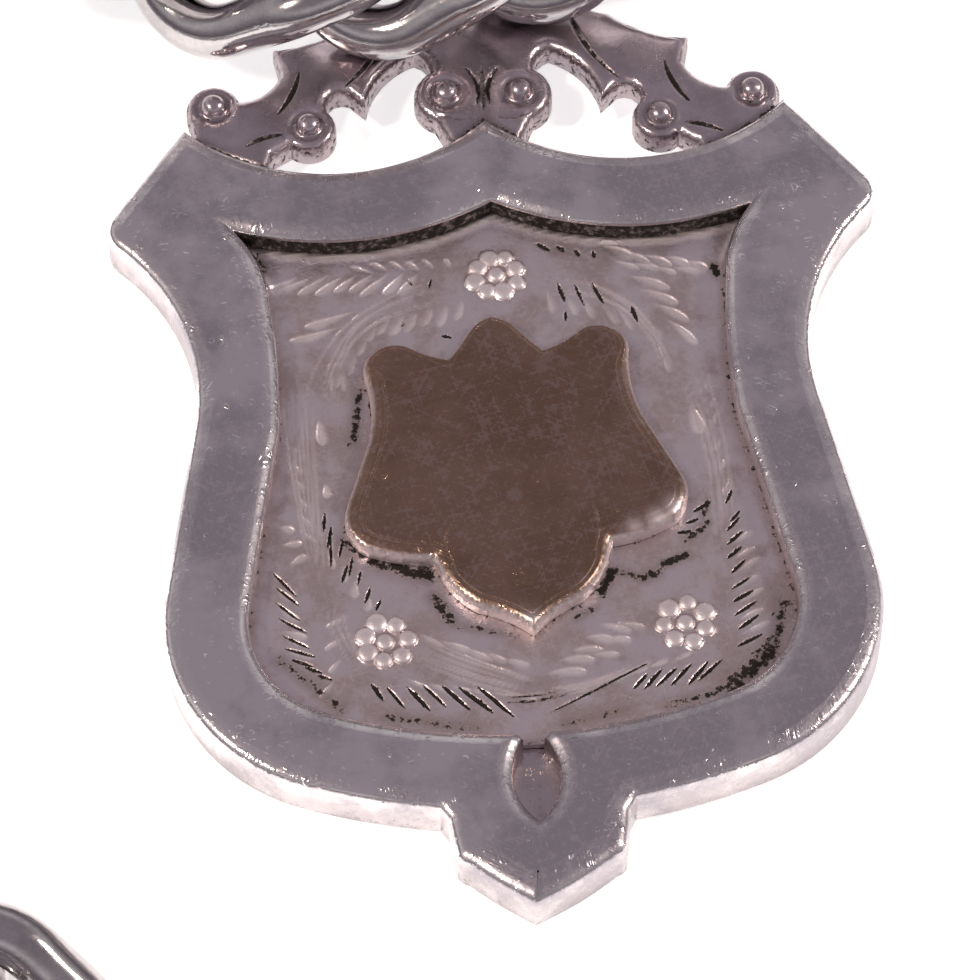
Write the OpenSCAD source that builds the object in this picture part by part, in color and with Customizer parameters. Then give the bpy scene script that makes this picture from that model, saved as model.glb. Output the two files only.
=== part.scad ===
// Albert watch chain laid out on a table, with a shield-shaped silver fob.
// Millimetres, +Z up. The table is z = 0. The origin is on the shield's centre line,
// midway between the cusp of its top edge and the tip of its lobe; +Y is toward the crest.

/* [Shield] */
// Thickness of the shield's raised rim
shield_thickness = 2.3; // [2.1:0.05:2.6]
// Depth of the sunk field below the rim
field_depth = 1.15; // [0.9:0.05:1.25]
// Half width of the spindle-shaped pocket in the lobe
pocket_half_width = 0.85; // [0.7:0.05:1]
// Half length of the spindle-shaped pocket in the lobe
pocket_half_length = 1.7; // [1.5:0.05:1.9]

/* [Cartouche] */
// Thickness of the small plate laid on the field
cartouche_thickness = 0.72; // [0.5:0.02:0.9]
// Turn of the plate, as it was soldered slightly askew
cartouche_turn = 3; // [0:0.5:4]
// Gap between the plate and the field
cartouche_gap = 0.03; // [0.02:0.01:0.06]

/* [Crest] */
// Height of the underside of the pierced crest above the table
crest_bottom = 0.7; // [0.5:0.05:0.9]
// Thickness of the pierced crest
crest_thickness = 1.25; // [1.1:0.05:1.4]
// Turn of the crest, as it was soldered slightly askew
crest_turn = 1.5; // [0:0.1:1.5]
// Diameter of the wire of the eye
eye_wire = 0.9; // [0.7:0.05:0.9]

/* [Chain] */
// Diameter of the link wire
link_wire = 2.16; // [1.9:0.02:2.2]
// Half width of a link, to the middle of its wire
link_half_width = 3.1; // [3.08:0.01:3.14]
// Slope of a link's long sides, from the twist
side_slope = 32; // [31.5:0.1:32.5]
// Slope of the wire at a link's ends, from the twist
end_slope = 42; // [41.5:0.1:42.5]
// Distance between the centres of two neighbouring links
link_pitch = 5.95; // [5.93:0.01:5.97]

/* [Bar] */
// Length of the bar between the centres of its ball ends
bar_length = 32; // [28:1:34]
// Diameter of the bar
bar_d = 2.8; // [2.4:0.1:3.2]
// Diameter of the ball ends
ball_d = 4.2; // [4.2:0.05:4.4]

/* [Clip] */
// Diameter of the snap loop's wire
snap_wire = 2; // [1.8:0.1:2.2]
// Distance between the centres of the snap loop's two bends
snap_length = 9.3; // [8:0.1:10]

/* [Rings] */
// Mean radius of the ring at the fob
jump_ring_r = 3.5; // [3.46:0.01:3.54]
// Wire diameter of the ring at the fob
jump_ring_wire = 0.9; // [0.8:0.02:0.96]
// Mean radius of the ring at the bar
bar_ring_r = 2.5; // [2.45:0.01:2.55]
// Wire diameter of the ring at the bar
bar_ring_wire = 0.9; // [0.7:0.05:1]

/* [Hidden] */
$fn = 48;

// Columns of an outline table: x, y, and the radius of the edge to the next row,
// 0 for a straight edge, above 0 when it bulges outward, below 0 when it is hollow.
// Right half only, clockwise from the top of the centre line to its foot. The x of the
// foot is how far it stands to the left: the lobe's tip was filed a little askew.
shield_rows = [
    [0, 16.68, -8.5],
    [11.45, 16.9, 0],
    [14.29, 13.08, 1.05],
    [14.18, 11.7, -9],
    [11.59, 3.54, 0],
    [12.91, -3.48, 7.2],
    [8.24, -11.61, 24.7],
    [3.5, -12.8, 0],
    [3.22, -13.3, 9],
    [3.05, -14.5, 0.55],
    [2.6, -15.05, 14],
    [0.35, -16.75, 0]
];
field_rows = [
    [0, 12.91, -11.6],
    [9.75, 12.17, -5.2],
    [8.55, 9, -30],
    [8.42, 3.6, -6],
    [8.66, 2.35, 0],
    [9.86, -4.05, 4.1],
    [7.21, -8.69, 21.6],
    [0, -9.93, 0]
];
cartouche_rows = [
    [0, 7.95, 1.6],
    [1, 7.25, -8],
    [1.8, 6.25, -4],
    [3.2, 6.97, 1.2],
    [4.6, 6.8, 0.9],
    [4.95, 5.9, -6],
    [5.1, 3, 0],
    [6.2, 0.3, 1.6],
    [5.75, -1.5, 6],
    [3.3, -2.2, -1.5],
    [3.05, -2.9, 3.2],
    [1.9, -4.4, -5],
    [0, -5.6, 0]
];
crest_rows = [
    [0, 23.7, 3.5],
    [2.6, 22.95, -6],
    [5, 21.7, -5],
    [8, 20.5, 0],
    [7.75, 19.3, -1.8],
    [9.45, 18.1, 0],
    [10.3, 17.8, 0],
    [11.2, 17.2, 0],
    [11.1, 16, 0],
    [8.3, 14.7, 0],
    [8.05, 15.55, 0],
    [7.4, 15.95, 0],
    [6.7, 16.8, 0],
    [5.95, 17.5, -0.6],
    [5.15, 18.3, 0],
    [4.5, 17.65, -3.2],
    [2.6, 20.1, -0.9],
    [2.05, 18.9, 0],
    [1.4, 18.1, 0],
    [1.9, 17, 0],
    [1.2, 15.5, 0],
    [0, 15.5, 0]
];
// Round scroll ends of the crest, right half: x, y, radius
scroll_ends = [
    [1.4, 18.1, 1.25],
    [6.7, 16.8, 1.05],
    [10.3, 17.8, 1.05]
];

// The point that the crest is turned about
crest_pivot = [-3, 17, 0];

// Eye above the crest: a loop of two half circles and two straight runs
eye_y = 25;
eye_z = 1.55;
eye_bend = 1.6;
eye_straight = 0.7;

// Spindle-shaped pocket and the narrow neck that opens it to the field
pocket_y = -11.9;
neck_half_width = 0.35;
neck_length = 1.3;

// Where the ring at the fob stands: centre, turn about Z, lean
jump_ring_at = [-0.6, 27.37, 3.8];
jump_ring_turn = -18;
jump_ring_lean = 20.5;

// The middle link, over the crest
links_left = 22;
links_right = 19;
middle_at = [-1.9, 23.15, 4.45];
middle_yaw = 9;
// Turns along each arm, counted from the middle link: number of links, turn of each
right_turns = [[1, 14], [1, 12], [1, 2], [1, -12], [8, -15.5], [3, 3], [4, -21]];
left_turns = [[1, -18.5], [1, -28], [1, -4], [1, 12], [9, 18.2], [7, 1], [2, 6]];
// Heights of the links that slope down from the crest; the rest lie on the table
right_heights = [4.35, 4, 3.55, 3.1, 2.7, 2.47, 2.36];
left_heights = [4.32, 4.1, 3.7, 3.25, 2.8, 2.5, 2.37];

// Shape of a curb link, from its half width and its two slopes
bend_reach = link_half_width * cos(side_slope) / cos(end_slope);
side_rise = link_half_width * (sin(end_slope) - sin(side_slope)) / cos(end_slope);
side_length = 2 * side_rise / tan(side_slope);
link_reach = side_length / 2 + bend_reach;
link_rest = 1.23 + link_wire / 2 + 0.02;

// Chain end fittings, measured along the chain from the centre of the last link
bar_ring_at = [link_reach + 0.75, 0.15, 2.5];
bar_ring_roll = 38;
loop_r = 2;
loop_wire = 1.2;
loop_x = link_reach + 3.86;
loop_rest = 2.3;
bar_x = loop_x + loop_r + 0.85;
bar_rest = ball_d / 2 + 0.02;
boss_d = 3.8;
boss_length = 4;
hoop_r = 1.75;
hoop_wire = 1.1;
barrel_d = 3.2;
barrel_length = 2.4;
stem_d = 1.5;
stem_length = 1.4;
collar_d = 2.4;
snap_base_r = 2.6;
snap_end_r = 4.3;
clip_dip = 3.1;

silver = [0.66, 0.62, 0.66];
bright_silver = [0.78, 0.77, 0.78];
rose_metal = [0.45, 0.36, 0.32];

link_count = links_left + 1 + links_right;
link_names = [for (n = [1:link_count]) str("link_", n < 10 ? "0" : "", n)];

function mirrored(rows) = concat(
    [for (i = [0:len(rows) - 2]) rows[i]],
    [for (i = [len(rows) - 1:-1:1]) [-rows[i].x, rows[i].y, rows[i - 1].z]]
);

// How far a facet of a curved edge may stand from the true arc
facet_sag = 0.012;

function turned(v, angle) = [v.x * cos(angle) - v.y * sin(angle), v.x * sin(angle) + v.y * cos(angle)];

// Points along the edge from a to b, a included and b left out.
// r is the edge's radius as in the outline tables, for an outline that runs clockwise.
function edge_points(a, b, r) = r == 0 ? [a] : let (
    chord = b - a,
    half = norm(chord) / 2,
    outward = [-chord.y, chord.x] / (2 * half),
    centre = (a + b) / 2 - sign(r) * sqrt(r * r - half * half) * outward,
    sweep = 2 * asin(half / abs(r)),
    facet_angle = 2 * acos(1 - facet_sag / abs(r)),
    count = ceil(sweep / facet_angle)
) [for (i = [0:count - 1]) centre + turned(a - centre, -sign(r) * sweep * i / count)];

// A flat plate whose outline is made of lines and arcs
module arc_plate(rows, height) {
    n = len(rows);
    linear_extrude(height)
        polygon([
            for (i = [0:n - 1])
                each edge_points([rows[i].x, rows[i].y], [rows[(i + 1) % n].x, rows[(i + 1) % n].y], rows[i].z)
        ]);
}

// The hollow of the field, the pocket in the lobe and the neck between them
module field_hollow(height) {
    pocket_r = (pocket_half_width * pocket_half_width + pocket_half_length * pocket_half_length)
        / (2 * pocket_half_width);
    arc_plate(mirrored(field_rows), height);
    translate([0, pocket_y, 0])
        arc_plate([[0, pocket_half_length, pocket_r], [0, -pocket_half_length, pocket_r]], height);
    translate([-neck_half_width, pocket_y + pocket_half_length - 0.6, 0])
        cube([2 * neck_half_width, neck_length, height]);
}

module crest() {
    translate(crest_pivot)
        rotate(-crest_turn)
            translate(-crest_pivot) {
                arc_plate(mirrored(crest_rows), crest_thickness);
                for (side = [-1, 1], end = scroll_ends)
                    translate([side * end.x, end.y, 0])
                        cylinder(r = end.z, h = crest_thickness);
            }
}

module eye() {
    translate([0, eye_y, eye_z]) {
        for (side = [0, 180])
            rotate(side) {
                translate([eye_straight, 0, 0]) arc_wire(eye_bend, eye_wire, -90, 180);
                translate([-eye_straight, eye_bend, 0]) straight_wire(eye_wire, 2 * eye_straight);
                for (x = [-eye_straight, eye_straight])
                    translate([x, eye_bend, 0]) rotate([0, 90, 0]) bead(eye_wire);
            }
    }
}

module fob() {
    color(silver) {
        difference() {
            union() {
                arc_plate(mirrored(shield_rows), shield_thickness);
                translate([0, 0, crest_bottom]) crest();
            }
            translate([0, 0, shield_thickness - field_depth]) field_hollow(field_depth + 1);
        }
        eye();
    }
}

module cartouche() {
    color(rose_metal)
        translate([0.1, 1, shield_thickness - field_depth + cartouche_gap])
            rotate(cartouche_turn)
                translate([-0.1, -1, 0])
                    arc_plate(mirrored(cartouche_rows), cartouche_thickness);
}

// Pieces of wire stop this far short of each other, inside the bead that joins them
bead_gap = 0.05;
// How much wider than its wire a bead is
bead_extra = 0.07;

module bead(wire) {
    sphere(d = wire + bead_extra);
}

module straight_wire(wire, length) {
    translate([bead_gap, 0, 0])
        rotate([0, 90, 0]) cylinder(d = wire, h = length - 2 * bead_gap);
}

// Wire in an arc about the Z axis, from the angle start and over the angle sweep
module arc_wire(r, wire, start, sweep) {
    short = bead_gap / r * 180 / PI;
    rotate_extrude(angle = sweep - 2 * short, start = start + short)
        translate([r, 0]) circle(d = wire);
}

// Wire along the arc that leaves p1 in the direction t1 and ends at p2
module wire_bend(p1, p2, t1, wire) {
    chord = p2 - p1;
    along = chord * t1;
    across = chord - along * t1;
    m = across / norm(across);
    r = (chord * chord) / (2 * norm(across));
    centre = p1 + r * m;
    k = cross(t1, m);
    multmatrix([
        [-m.x, t1.x, k.x, centre.x],
        [-m.y, t1.y, k.y, centre.y],
        [-m.z, t1.z, k.z, centre.z],
        [0, 0, 0, 1]
    ])
        arc_wire(r, wire, 0, 2 * atan2(norm(across), along));
}

module curb_link() {
    start = [side_length / 2, link_half_width, -side_rise];
    apex = [link_reach, 0, 0];
    for (half = [0, 180])
        rotate([0, 0, half]) {
            for (quarter = [0, 180])
                rotate([quarter, 0, 0])
                    wire_bend(start, apex, [cos(side_slope), 0, -sin(side_slope)], link_wire);
            translate([-side_length / 2, link_half_width, side_rise])
                rotate([0, side_slope, 0])
                    straight_wire(link_wire, side_length / cos(side_slope));
            translate(start) bead(link_wire);
            translate([-start.x, start.y, -start.z]) bead(link_wire);
            translate(apex) bead(link_wire);
        }
}

// One turn for every link of an arm, from its table
function spread(rows) = [for (row = rows) for (i = [1:row[0]]) row[1]];

// Running sums of a list, starting from a first value
function running(v, first) = [
    for (i = 0, sum = first; i <= len(v); sum = sum + (i < len(v) ? v[i] : 0), i = i + 1) sum
];

function height_at(heights, i) = i == 0 ? middle_at.z
    : i <= len(heights) ? max(heights[i - 1], link_rest) : link_rest;

// Places of the links of an arm: x, y, z, yaw. way is 1 to the right and -1 to the left.
function arm(turns, heights, way) = let (
    yaws = running(spread(turns), middle_yaw),
    z = [for (i = [0:len(yaws) - 1]) height_at(heights, i)],
    steps = [
        for (i = [1:len(yaws) - 1]) let (
            flat = sqrt(link_pitch * link_pitch - pow(z[i] - z[i - 1], 2)),
            heading = (yaws[i] + yaws[i - 1]) / 2
        ) way * flat * [cos(heading), sin(heading)]
    ],
    xs = running([for (s = steps) s.x], middle_at.x),
    ys = running([for (s = steps) s.y], middle_at.y)
) [for (i = [0:len(yaws) - 1]) [xs[i], ys[i], z[i], yaws[i]]];

right_arm = arm(right_turns, right_heights, 1);
left_arm = arm(left_turns, left_heights, -1);
places = concat(
    [for (i = [links_left:-1:1]) left_arm[i]],
    [right_arm[0]],
    [for (i = [1:links_right]) right_arm[i]]
);

// Slope of the chain at a link, from the heights of its neighbours
function slope_at(n) = let (
    before = places[max(n - 1, 0)],
    after = places[min(n + 1, link_count - 1)],
    run = norm([after.x - before.x, after.y - before.y])
) atan2(after.z - before.z, run);

module chain_link(n) {
    at = places[n];
    color(bright_silver)
        translate([at.x, at.y, at.z])
            rotate([0, -slope_at(n), at[3]])
                curb_link();
}

module ring(r, wire) {
    rotate([90, 0, 0])
        rotate_extrude() translate([r, 0]) circle(d = wire);
}

module jump_ring() {
    color(bright_silver)
        translate(jump_ring_at)
            rotate([0, 0, jump_ring_turn])
                rotate([0, -jump_ring_lean, 0])
                    rotate([0, 0, 90])
                        ring(jump_ring_r, jump_ring_wire);
}

// The chain ends are drawn with the last link's centre at the origin, going on along +X

module at_bar_end() {
    end = places[link_count - 1];
    translate([end.x, end.y, 0]) rotate(end[3]) children();
}

module at_clip_end() {
    end = places[0];
    translate([end.x, end.y, 0]) rotate(end[3] + 180) children();
}

module bar_ring() {
    color(bright_silver)
        at_bar_end()
            translate(bar_ring_at)
                rotate([-bar_ring_roll, 0, 0])
                    ring(bar_ring_r, bar_ring_wire);
}

module t_bar() {
    color(bright_silver)
        at_bar_end() {
            translate([loop_x, 0, loop_rest])
                rotate_extrude() translate([loop_r, 0]) circle(d = loop_wire);
            translate([bar_x, 0, bar_rest])
                rotate([90, 0, 0]) {
                    cylinder(d = bar_d, h = bar_length, center = true);
                    cylinder(d = boss_d, h = boss_length, center = true);
                }
            for (side = [-1, 1])
                translate([bar_x, side * bar_length / 2, bar_rest])
                    sphere(d = ball_d);
        }
}

// Pear-shaped loop of wire: small bend at the origin, large bend further along +X
module pear_loop(base_r, end_r, length, wire) {
    flare = asin((end_r - base_r) / length);
    arc_wire(base_r, wire, 90 + flare, 180 - 2 * flare);
    translate([length, 0, 0]) arc_wire(end_r, wire, -90 - flare, 180 + 2 * flare);
    for (side = [-1, 1])
        translate([-base_r * sin(flare), side * base_r * cos(flare), 0])
            rotate([0, 0, side * flare]) {
                straight_wire(wire, length * cos(flare));
                for (x = [0, length * cos(flare)])
                    translate([x, 0, 0]) rotate([0, 90, 0]) bead(wire);
            }
}

module swivel_clip() {
    barrel_x = hoop_r + stem_length;
    snap_x = barrel_x + barrel_length + 1.4 + snap_base_r;
    color(bright_silver)
        at_clip_end()
            translate([link_reach, 0, link_rest])
                rotate([0, clip_dip, 0]) {
                    rotate([-end_slope, 0, 0]) ring(hoop_r, hoop_wire);
                    translate([hoop_r, 0, 0])
                        rotate([0, 90, 0]) cylinder(d = stem_d, h = stem_length + 0.5);
                    translate([barrel_x, 0, 0])
                        rotate([0, 90, 0]) cylinder(d = barrel_d, h = barrel_length);
                    translate([barrel_x + barrel_length - 0.5, 0, 0])
                        rotate([0, 90, 0]) cylinder(d = collar_d, h = 2.2);
                    translate([snap_x, 0, 0])
                        pear_loop(snap_base_r, snap_end_r, snap_length, snap_wire);
                }
}

fob();
cartouche();
jump_ring();
for (n = [0:link_count - 1])
    chain_link(n);
bar_ring();
t_bar();
swivel_clip();
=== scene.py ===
# %% [markdown]
# # A watch chain laid out with its shield fob
# The object is a heavy silver curb chain with a bar at one end and a snap loop at the other,
# and a shield-shaped silver medal hanging from its middle. It was packed as a CAD model first.
# This script loads that model as a fixed frame and puts a finely modelled piece in the place of
# every CAD solid. The first lines load the frame.

# %% Load the frame
import math
import random

import bmesh
import bpy
import numpy as np
from mathutils import Matrix, Vector


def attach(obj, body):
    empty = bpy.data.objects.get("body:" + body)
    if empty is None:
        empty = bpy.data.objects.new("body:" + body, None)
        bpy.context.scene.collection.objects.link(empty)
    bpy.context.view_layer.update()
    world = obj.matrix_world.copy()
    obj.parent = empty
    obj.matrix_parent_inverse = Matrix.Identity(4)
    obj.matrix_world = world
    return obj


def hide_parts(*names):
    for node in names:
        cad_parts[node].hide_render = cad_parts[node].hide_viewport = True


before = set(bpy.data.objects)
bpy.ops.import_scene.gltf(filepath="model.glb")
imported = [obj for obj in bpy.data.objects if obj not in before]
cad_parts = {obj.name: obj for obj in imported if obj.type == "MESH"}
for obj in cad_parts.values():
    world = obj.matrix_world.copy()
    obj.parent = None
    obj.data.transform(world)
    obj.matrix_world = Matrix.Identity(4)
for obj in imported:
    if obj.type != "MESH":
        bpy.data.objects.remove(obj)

scene = bpy.context.scene
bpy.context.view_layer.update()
print("CAD nodes:", len(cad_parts))

# %% [markdown]
# ## Millimetres on the bench, metres in the scene
# A jeweller thinks in millimetres, and so does every table below. Each piece is built in
# millimetres and scaled once, when it is finished. Finishing also turns the faces outwards,
# marks the sharp edges, gives the piece its material, and hides the CAD solids that the piece
# stands for. All pieces ride on the one body of the model, because nothing on it turns
# on a joint.

# %% Finish a piece
MM = 0.001


def place_piece(name, mesh, material, nodes, sharp=35):
    mesh.shade_smooth()
    mesh.set_sharp_from_angle(angle=math.radians(sharp))
    mesh.materials.append(material)
    piece = bpy.data.objects.new(name, mesh)
    scene.collection.objects.link(piece)
    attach(piece, "root")
    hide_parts(*nodes)
    return piece


def finish_piece(name, bm, material, nodes, sharp=35):
    bmesh.ops.recalc_face_normals(bm, faces=bm.faces)
    bmesh.ops.scale(bm, vec=(MM, MM, MM), verts=bm.verts)
    mesh = bpy.data.meshes.new(name)
    bm.to_mesh(mesh)
    bm.free()
    mesh.calc_loop_triangles()
    print(f"{name}: {len(mesh.loop_triangles)} triangles")
    return place_piece(name, mesh, material, nodes, sharp)


# %% [markdown]
# ## Outlines of lines and arcs
# The shield, its sunk field, the small plate and the crest are all cut from sheet or cast flat,
# so each is an outline first. An outline is a short table of corners with the radius of the edge
# that follows: 0 for a straight edge, above 0 when it bulges outward and below 0 when it is
# hollow. A straight edge is one mesh edge, and an arc is spun from its first corner, as a
# compass would draw it. Only the right half is written down, and the left half is its mirror.

# %% Draw an outline
ARC_STEP = 0.3


def mirrored(rows):
    left = [(-rows[i][0], rows[i][1], rows[i - 1][2]) for i in range(len(rows) - 1, 0, -1)]
    return rows[:-1] + left


def arc_between(a, b, radius):
    """Centre and signed sweep of the arc from a to b, on an outline that runs clockwise."""
    chord = b - a
    outward = Vector((-chord.y, chord.x, 0)).normalized()
    drop = math.sqrt(radius * radius - chord.length_squared / 4)
    centre = (a + b) / 2 - math.copysign(drop, radius) * outward
    return centre, -math.copysign(2 * math.asin(chord.length / 2 / abs(radius)), radius)


def draw_outline(bm, rows, z):
    """Vertices of the closed outline, in order."""
    verts = [bm.verts.new((rows[0][0], rows[0][1], z))]
    for i, (x, y, radius) in enumerate(rows):
        end = Vector((*rows[(i + 1) % len(rows)][:2], z))
        if radius == 0:
            verts.append(bm.verts.new(end))
            bm.edges.new(verts[-2:])
            continue
        centre, sweep = arc_between(Vector((x, y, z)), end, radius)
        steps = max(2, round(abs(sweep * radius) / ARC_STEP))
        for _ in range(steps):
            spun = bmesh.ops.spin(
                bm, geom=[verts[-1]], cent=centre, axis=(0, 0, 1), angle=sweep / steps, steps=1
            )
            verts.append(next(g for g in spun["geom_last"] if isinstance(g, bmesh.types.BMVert)))
    bmesh.ops.pointmerge(bm, verts=[verts[0], verts[-1]], merge_co=verts[0].co)
    return [v for v in verts if v.is_valid]


def outline_points(rows):
    bm = bmesh.new()
    points = np.array([v.co.xy for v in draw_outline(bm, rows, 0)])
    bm.free()
    return points


def loop_edges(verts):
    """The edges between neighbours of a closed loop of vertices."""
    pairs = zip(verts, verts[1:] + verts[:1])
    return [next(e for e in a.link_edges if e.other_vert(a) is b) for a, b in pairs]


# %% [markdown]
# ### The shield's outlines
# The shield's edge, the sunk field and the opening in the rim follow the photograph. The field
# and the opening share one table, because the opening is the field's own edge down to the foot,
# where it runs on into the small pocket of the lobe.

# %% Tables of the outlines
SHIELD = mirrored([
    (0, 16.68, -8.5), (11.45, 16.9, 0), (14.29, 13.08, 1.05), (14.18, 11.7, -9), (11.59, 3.54, 0),
    (12.91, -3.48, 7.2), (8.24, -11.61, 24.7), (3.5, -12.8, 0), (3.22, -13.3, 9), (3.05, -14.5, 0.55),
    (2.6, -15.05, 14), (0.35, -16.75, 0),
])
FIELD_HALF = [
    (0, 12.91, -11.6), (9.75, 12.17, -5.2), (8.55, 9, -30), (8.42, 3.6, -6), (8.66, 2.35, 0),
    (9.86, -4.05, 4.1), (7.21, -8.69, 21.6),
]
FIELD = mirrored(FIELD_HALF + [(0, -9.93, 0)])
POCKET_HALF = [(0.62, -9.93, 0), (0.38, -10.2, 3), (0.86, -11.7, 2.4), (0, -13.5, 0)]
OPENING = mirrored(FIELD_HALF + POCKET_HALF)
print("points on the shield's outline:", len(outline_points(SHIELD)))

# %% [markdown]
# ## Soft bevels, ring by ring
# The rim of the medal has been polished and worn for a century, so its edges are soft. The bevel
# operator needs even edges, and these outlines mix long lines with short arc steps. An inset
# crosses itself where short steps meet a corner. So an edge is a stack of rings here: a short
# table of sideways and upward steps gives its section, every ring lies at its true distance from
# the outline, and the points that would pass a corner are drawn together in it. The last step of
# a section is flat: it holds the smooth shading of the bevel off the flat face.

# %% Walls and rings
MITRE_LIMIT, KEEP = 2.2, 0.985
FAR, TINY = 1e9, 1e-12


def wall_from(bm, edges, up):
    """Raises a wall from a closed loop of edges and returns the edges of its far end."""
    raised = bmesh.ops.extrude_edge_only(bm, edges=edges)["geom"]
    verts = [g for g in raised if isinstance(g, bmesh.types.BMVert)]
    bmesh.ops.translate(bm, verts=verts, vec=(0, 0, up))
    return [g for g in raised if isinstance(g, bmesh.types.BMEdge)]


def fill(bm, edges):
    """One flat face over a closed loop of edges."""
    return bmesh.ops.contextual_create(bm, geom=edges)["faces"][0]


def smooth(x, low, high):
    t = np.clip((x - low) / (high - low), 0, 1)
    return t * t * (3 - 2 * t)


def distance_to_edges(points, edges):
    """Distance of each point to the nearest edge, in the plane."""
    best = np.full(len(points), FAR)
    for a, b in edges:
        along = b - a
        t = np.clip(((points - a) @ along) / max(along @ along, TINY), 0, 1)
        best = np.minimum(best, np.hypot(*(points - a - t[:, None] * along).T))
    return best


def distance_to(points, loop):
    """Distance of each point to a closed loop of points."""
    return distance_to_edges(points, zip(loop, np.roll(loop, -1, 0)))


# %% [markdown]
# ### An outline moved sideways
# The next ring of an edge is the outline moved in or out by a fixed distance. Each point goes
# along its mitre, which is the way that keeps both neighbouring edges parallel. A point that ends
# up closer to the outline than it should has passed a corner, and it is put where the edges on
# both sides of that corner cross.

# %% Move an outline sideways


def mitres(loop):
    """The way out of a clockwise loop at each point, long enough to keep both edges parallel."""
    run = np.roll(loop, -1, 0) - loop
    out_on = np.stack((-run[:, 1], run[:, 0]), 1) / np.hypot(*run.T)[:, None]
    out_in = np.roll(out_on, 1, 0)
    both = (out_in + out_on) / (1 + (out_in * out_on).sum(1))[:, None]
    return both * np.minimum(1, MITRE_LIMIT / np.hypot(*both.T))[:, None]


def crossing(a, b, c, d):
    """Where the lines through a and b and through c and d meet."""
    (px, py), (qx, qy), (rx, ry) = b - a, d - c, c - a
    return a + (b - a) * (rx * qy - ry * qx) / (px * qy - py * qx)


def offset_loop(loop, outward):
    """The loop moved outward, with the points that pass a corner drawn together at the corner."""
    moved, count = loop + mitres(loop) * outward[:, None], len(loop)
    lost = distance_to(moved, loop) < abs(outward) * KEEP
    if not lost.any() or lost.all():
        return moved
    start = int(np.flatnonzero(~lost & np.roll(lost, -1))[0])
    i = start
    while i < start + count:
        if lost[(i + 1) % count] and not lost[i % count]:
            last = i + 1
            while lost[(last + 1) % count]:
                last += 1
            ends = [moved[k % count] for k in (i - 1, i, last + 1, last + 2)]
            for k in range(i + 1, last + 1):
                moved[k % count] = crossing(*ends)
            i = last
        i += 1
    return moved


# %% [markdown]
# ### A section swept along an outline
# A goldsmith files a bevel along the whole edge with the same few strokes. Here each step of the
# section extrudes the last ring, and the new ring's points are then put in their places, so that
# every ring has as many points as the one before and the faces between them are clean quads.

# %% Sweep a section


def step_ring(bm, ring, section, way=1, widen=None):
    """Adds a ring for each (sideways, up) step of a section. way is 1 outward and -1 inward."""
    base = np.array([v.co.xy for v in ring])
    level, away, scale = ring[0].co.z, 0.0, widen(base) if widen else np.ones(len(base))
    for sideways, up in section:
        level, away = level + up, away + sideways
        raised = set(bmesh.ops.extrude_edge_only(bm, edges=loop_edges(ring))["geom"])
        ring = [next(w for e in v.link_edges if (w := e.other_vert(v)) in raised) for v in ring]
        places = offset_loop(base, way * away * scale) if away else base
        for v, place in zip(ring, places):
            v.co = (*place, level)
    return ring


# %% [markdown]
# ## Wear, scratches, tarnish and painted shade
# Old silver shows three things at once. The flats carry hair-fine scratches in every direction,
# the polish is cloudy, and dark tarnish stays where a cloth can't reach. Each is a node group
# with named inputs, so that every material below takes the same effect at its own strength.
# All of them read Object coordinates, so a pattern stays on its piece. The tarnish group also
# reads the dirt_and_shade attribute, which the modelling cells write on the vertices near a wall
# or in a cut. It holds real tarnish and also painted shade: the dark top wall of the recess, the
# shadow under the small plate, the dark edge of the crest and the crevices between the links.

# %% Node helpers


def new_group(name, inputs, outputs):
    group = bpy.data.node_groups.new(name, "ShaderNodeTree")
    for direction, sockets in (("INPUT", inputs), ("OUTPUT", outputs)):
        for label, kind, value in sockets:
            made = group.interface.new_socket(label, in_out=direction, socket_type="NodeSocket" + kind)
            if value is not None:
                made.default_value = value
    return group, group.nodes.new("NodeGroupInput"), group.nodes.new("NodeGroupOutput")


def add_node(tree, kind, values=None, **settings):
    node = tree.nodes.new("ShaderNode" + kind)
    for key, value in settings.items():
        setattr(node, key, value)
    for key, value in (values or {}).items():
        node.inputs[key].default_value = value
    return node


def math_node(tree, operation, first, second=None, clamp=False):
    node = add_node(tree, "Math", operation=operation, use_clamp=clamp)
    for socket, value in zip(node.inputs, (first, second)):
        if isinstance(value, (int, float)):
            socket.default_value = value
        elif value is not None:
            tree.links.new(value, socket)
    return node.outputs[0]


def ramp_node(tree, value, low, high):
    """0 below low, 1 above high, smooth between."""
    ends = {"From Min": low, "From Max": high}
    node = add_node(tree, "MapRange", ends, interpolation_type="SMOOTHSTEP")
    tree.links.new(value, node.inputs["Value"])
    return node.outputs["Result"]


# %% [markdown]
# ### Hair scratches
# A cloth drags grit across the metal, and each grain leaves a long thin line. A noise that is
# stretched many times over, and read only where it passes its middle value, gives such lines.
# Four of them at different angles are multiplied, so that the scratches cross.

# %% Hair scratches
SCRATCH_TURNS = (12, 58, 101, 147)
SCRATCH_TILT, SCRATCH_STRETCH = (0.1, 0.05), (1, 33, 2)


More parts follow.
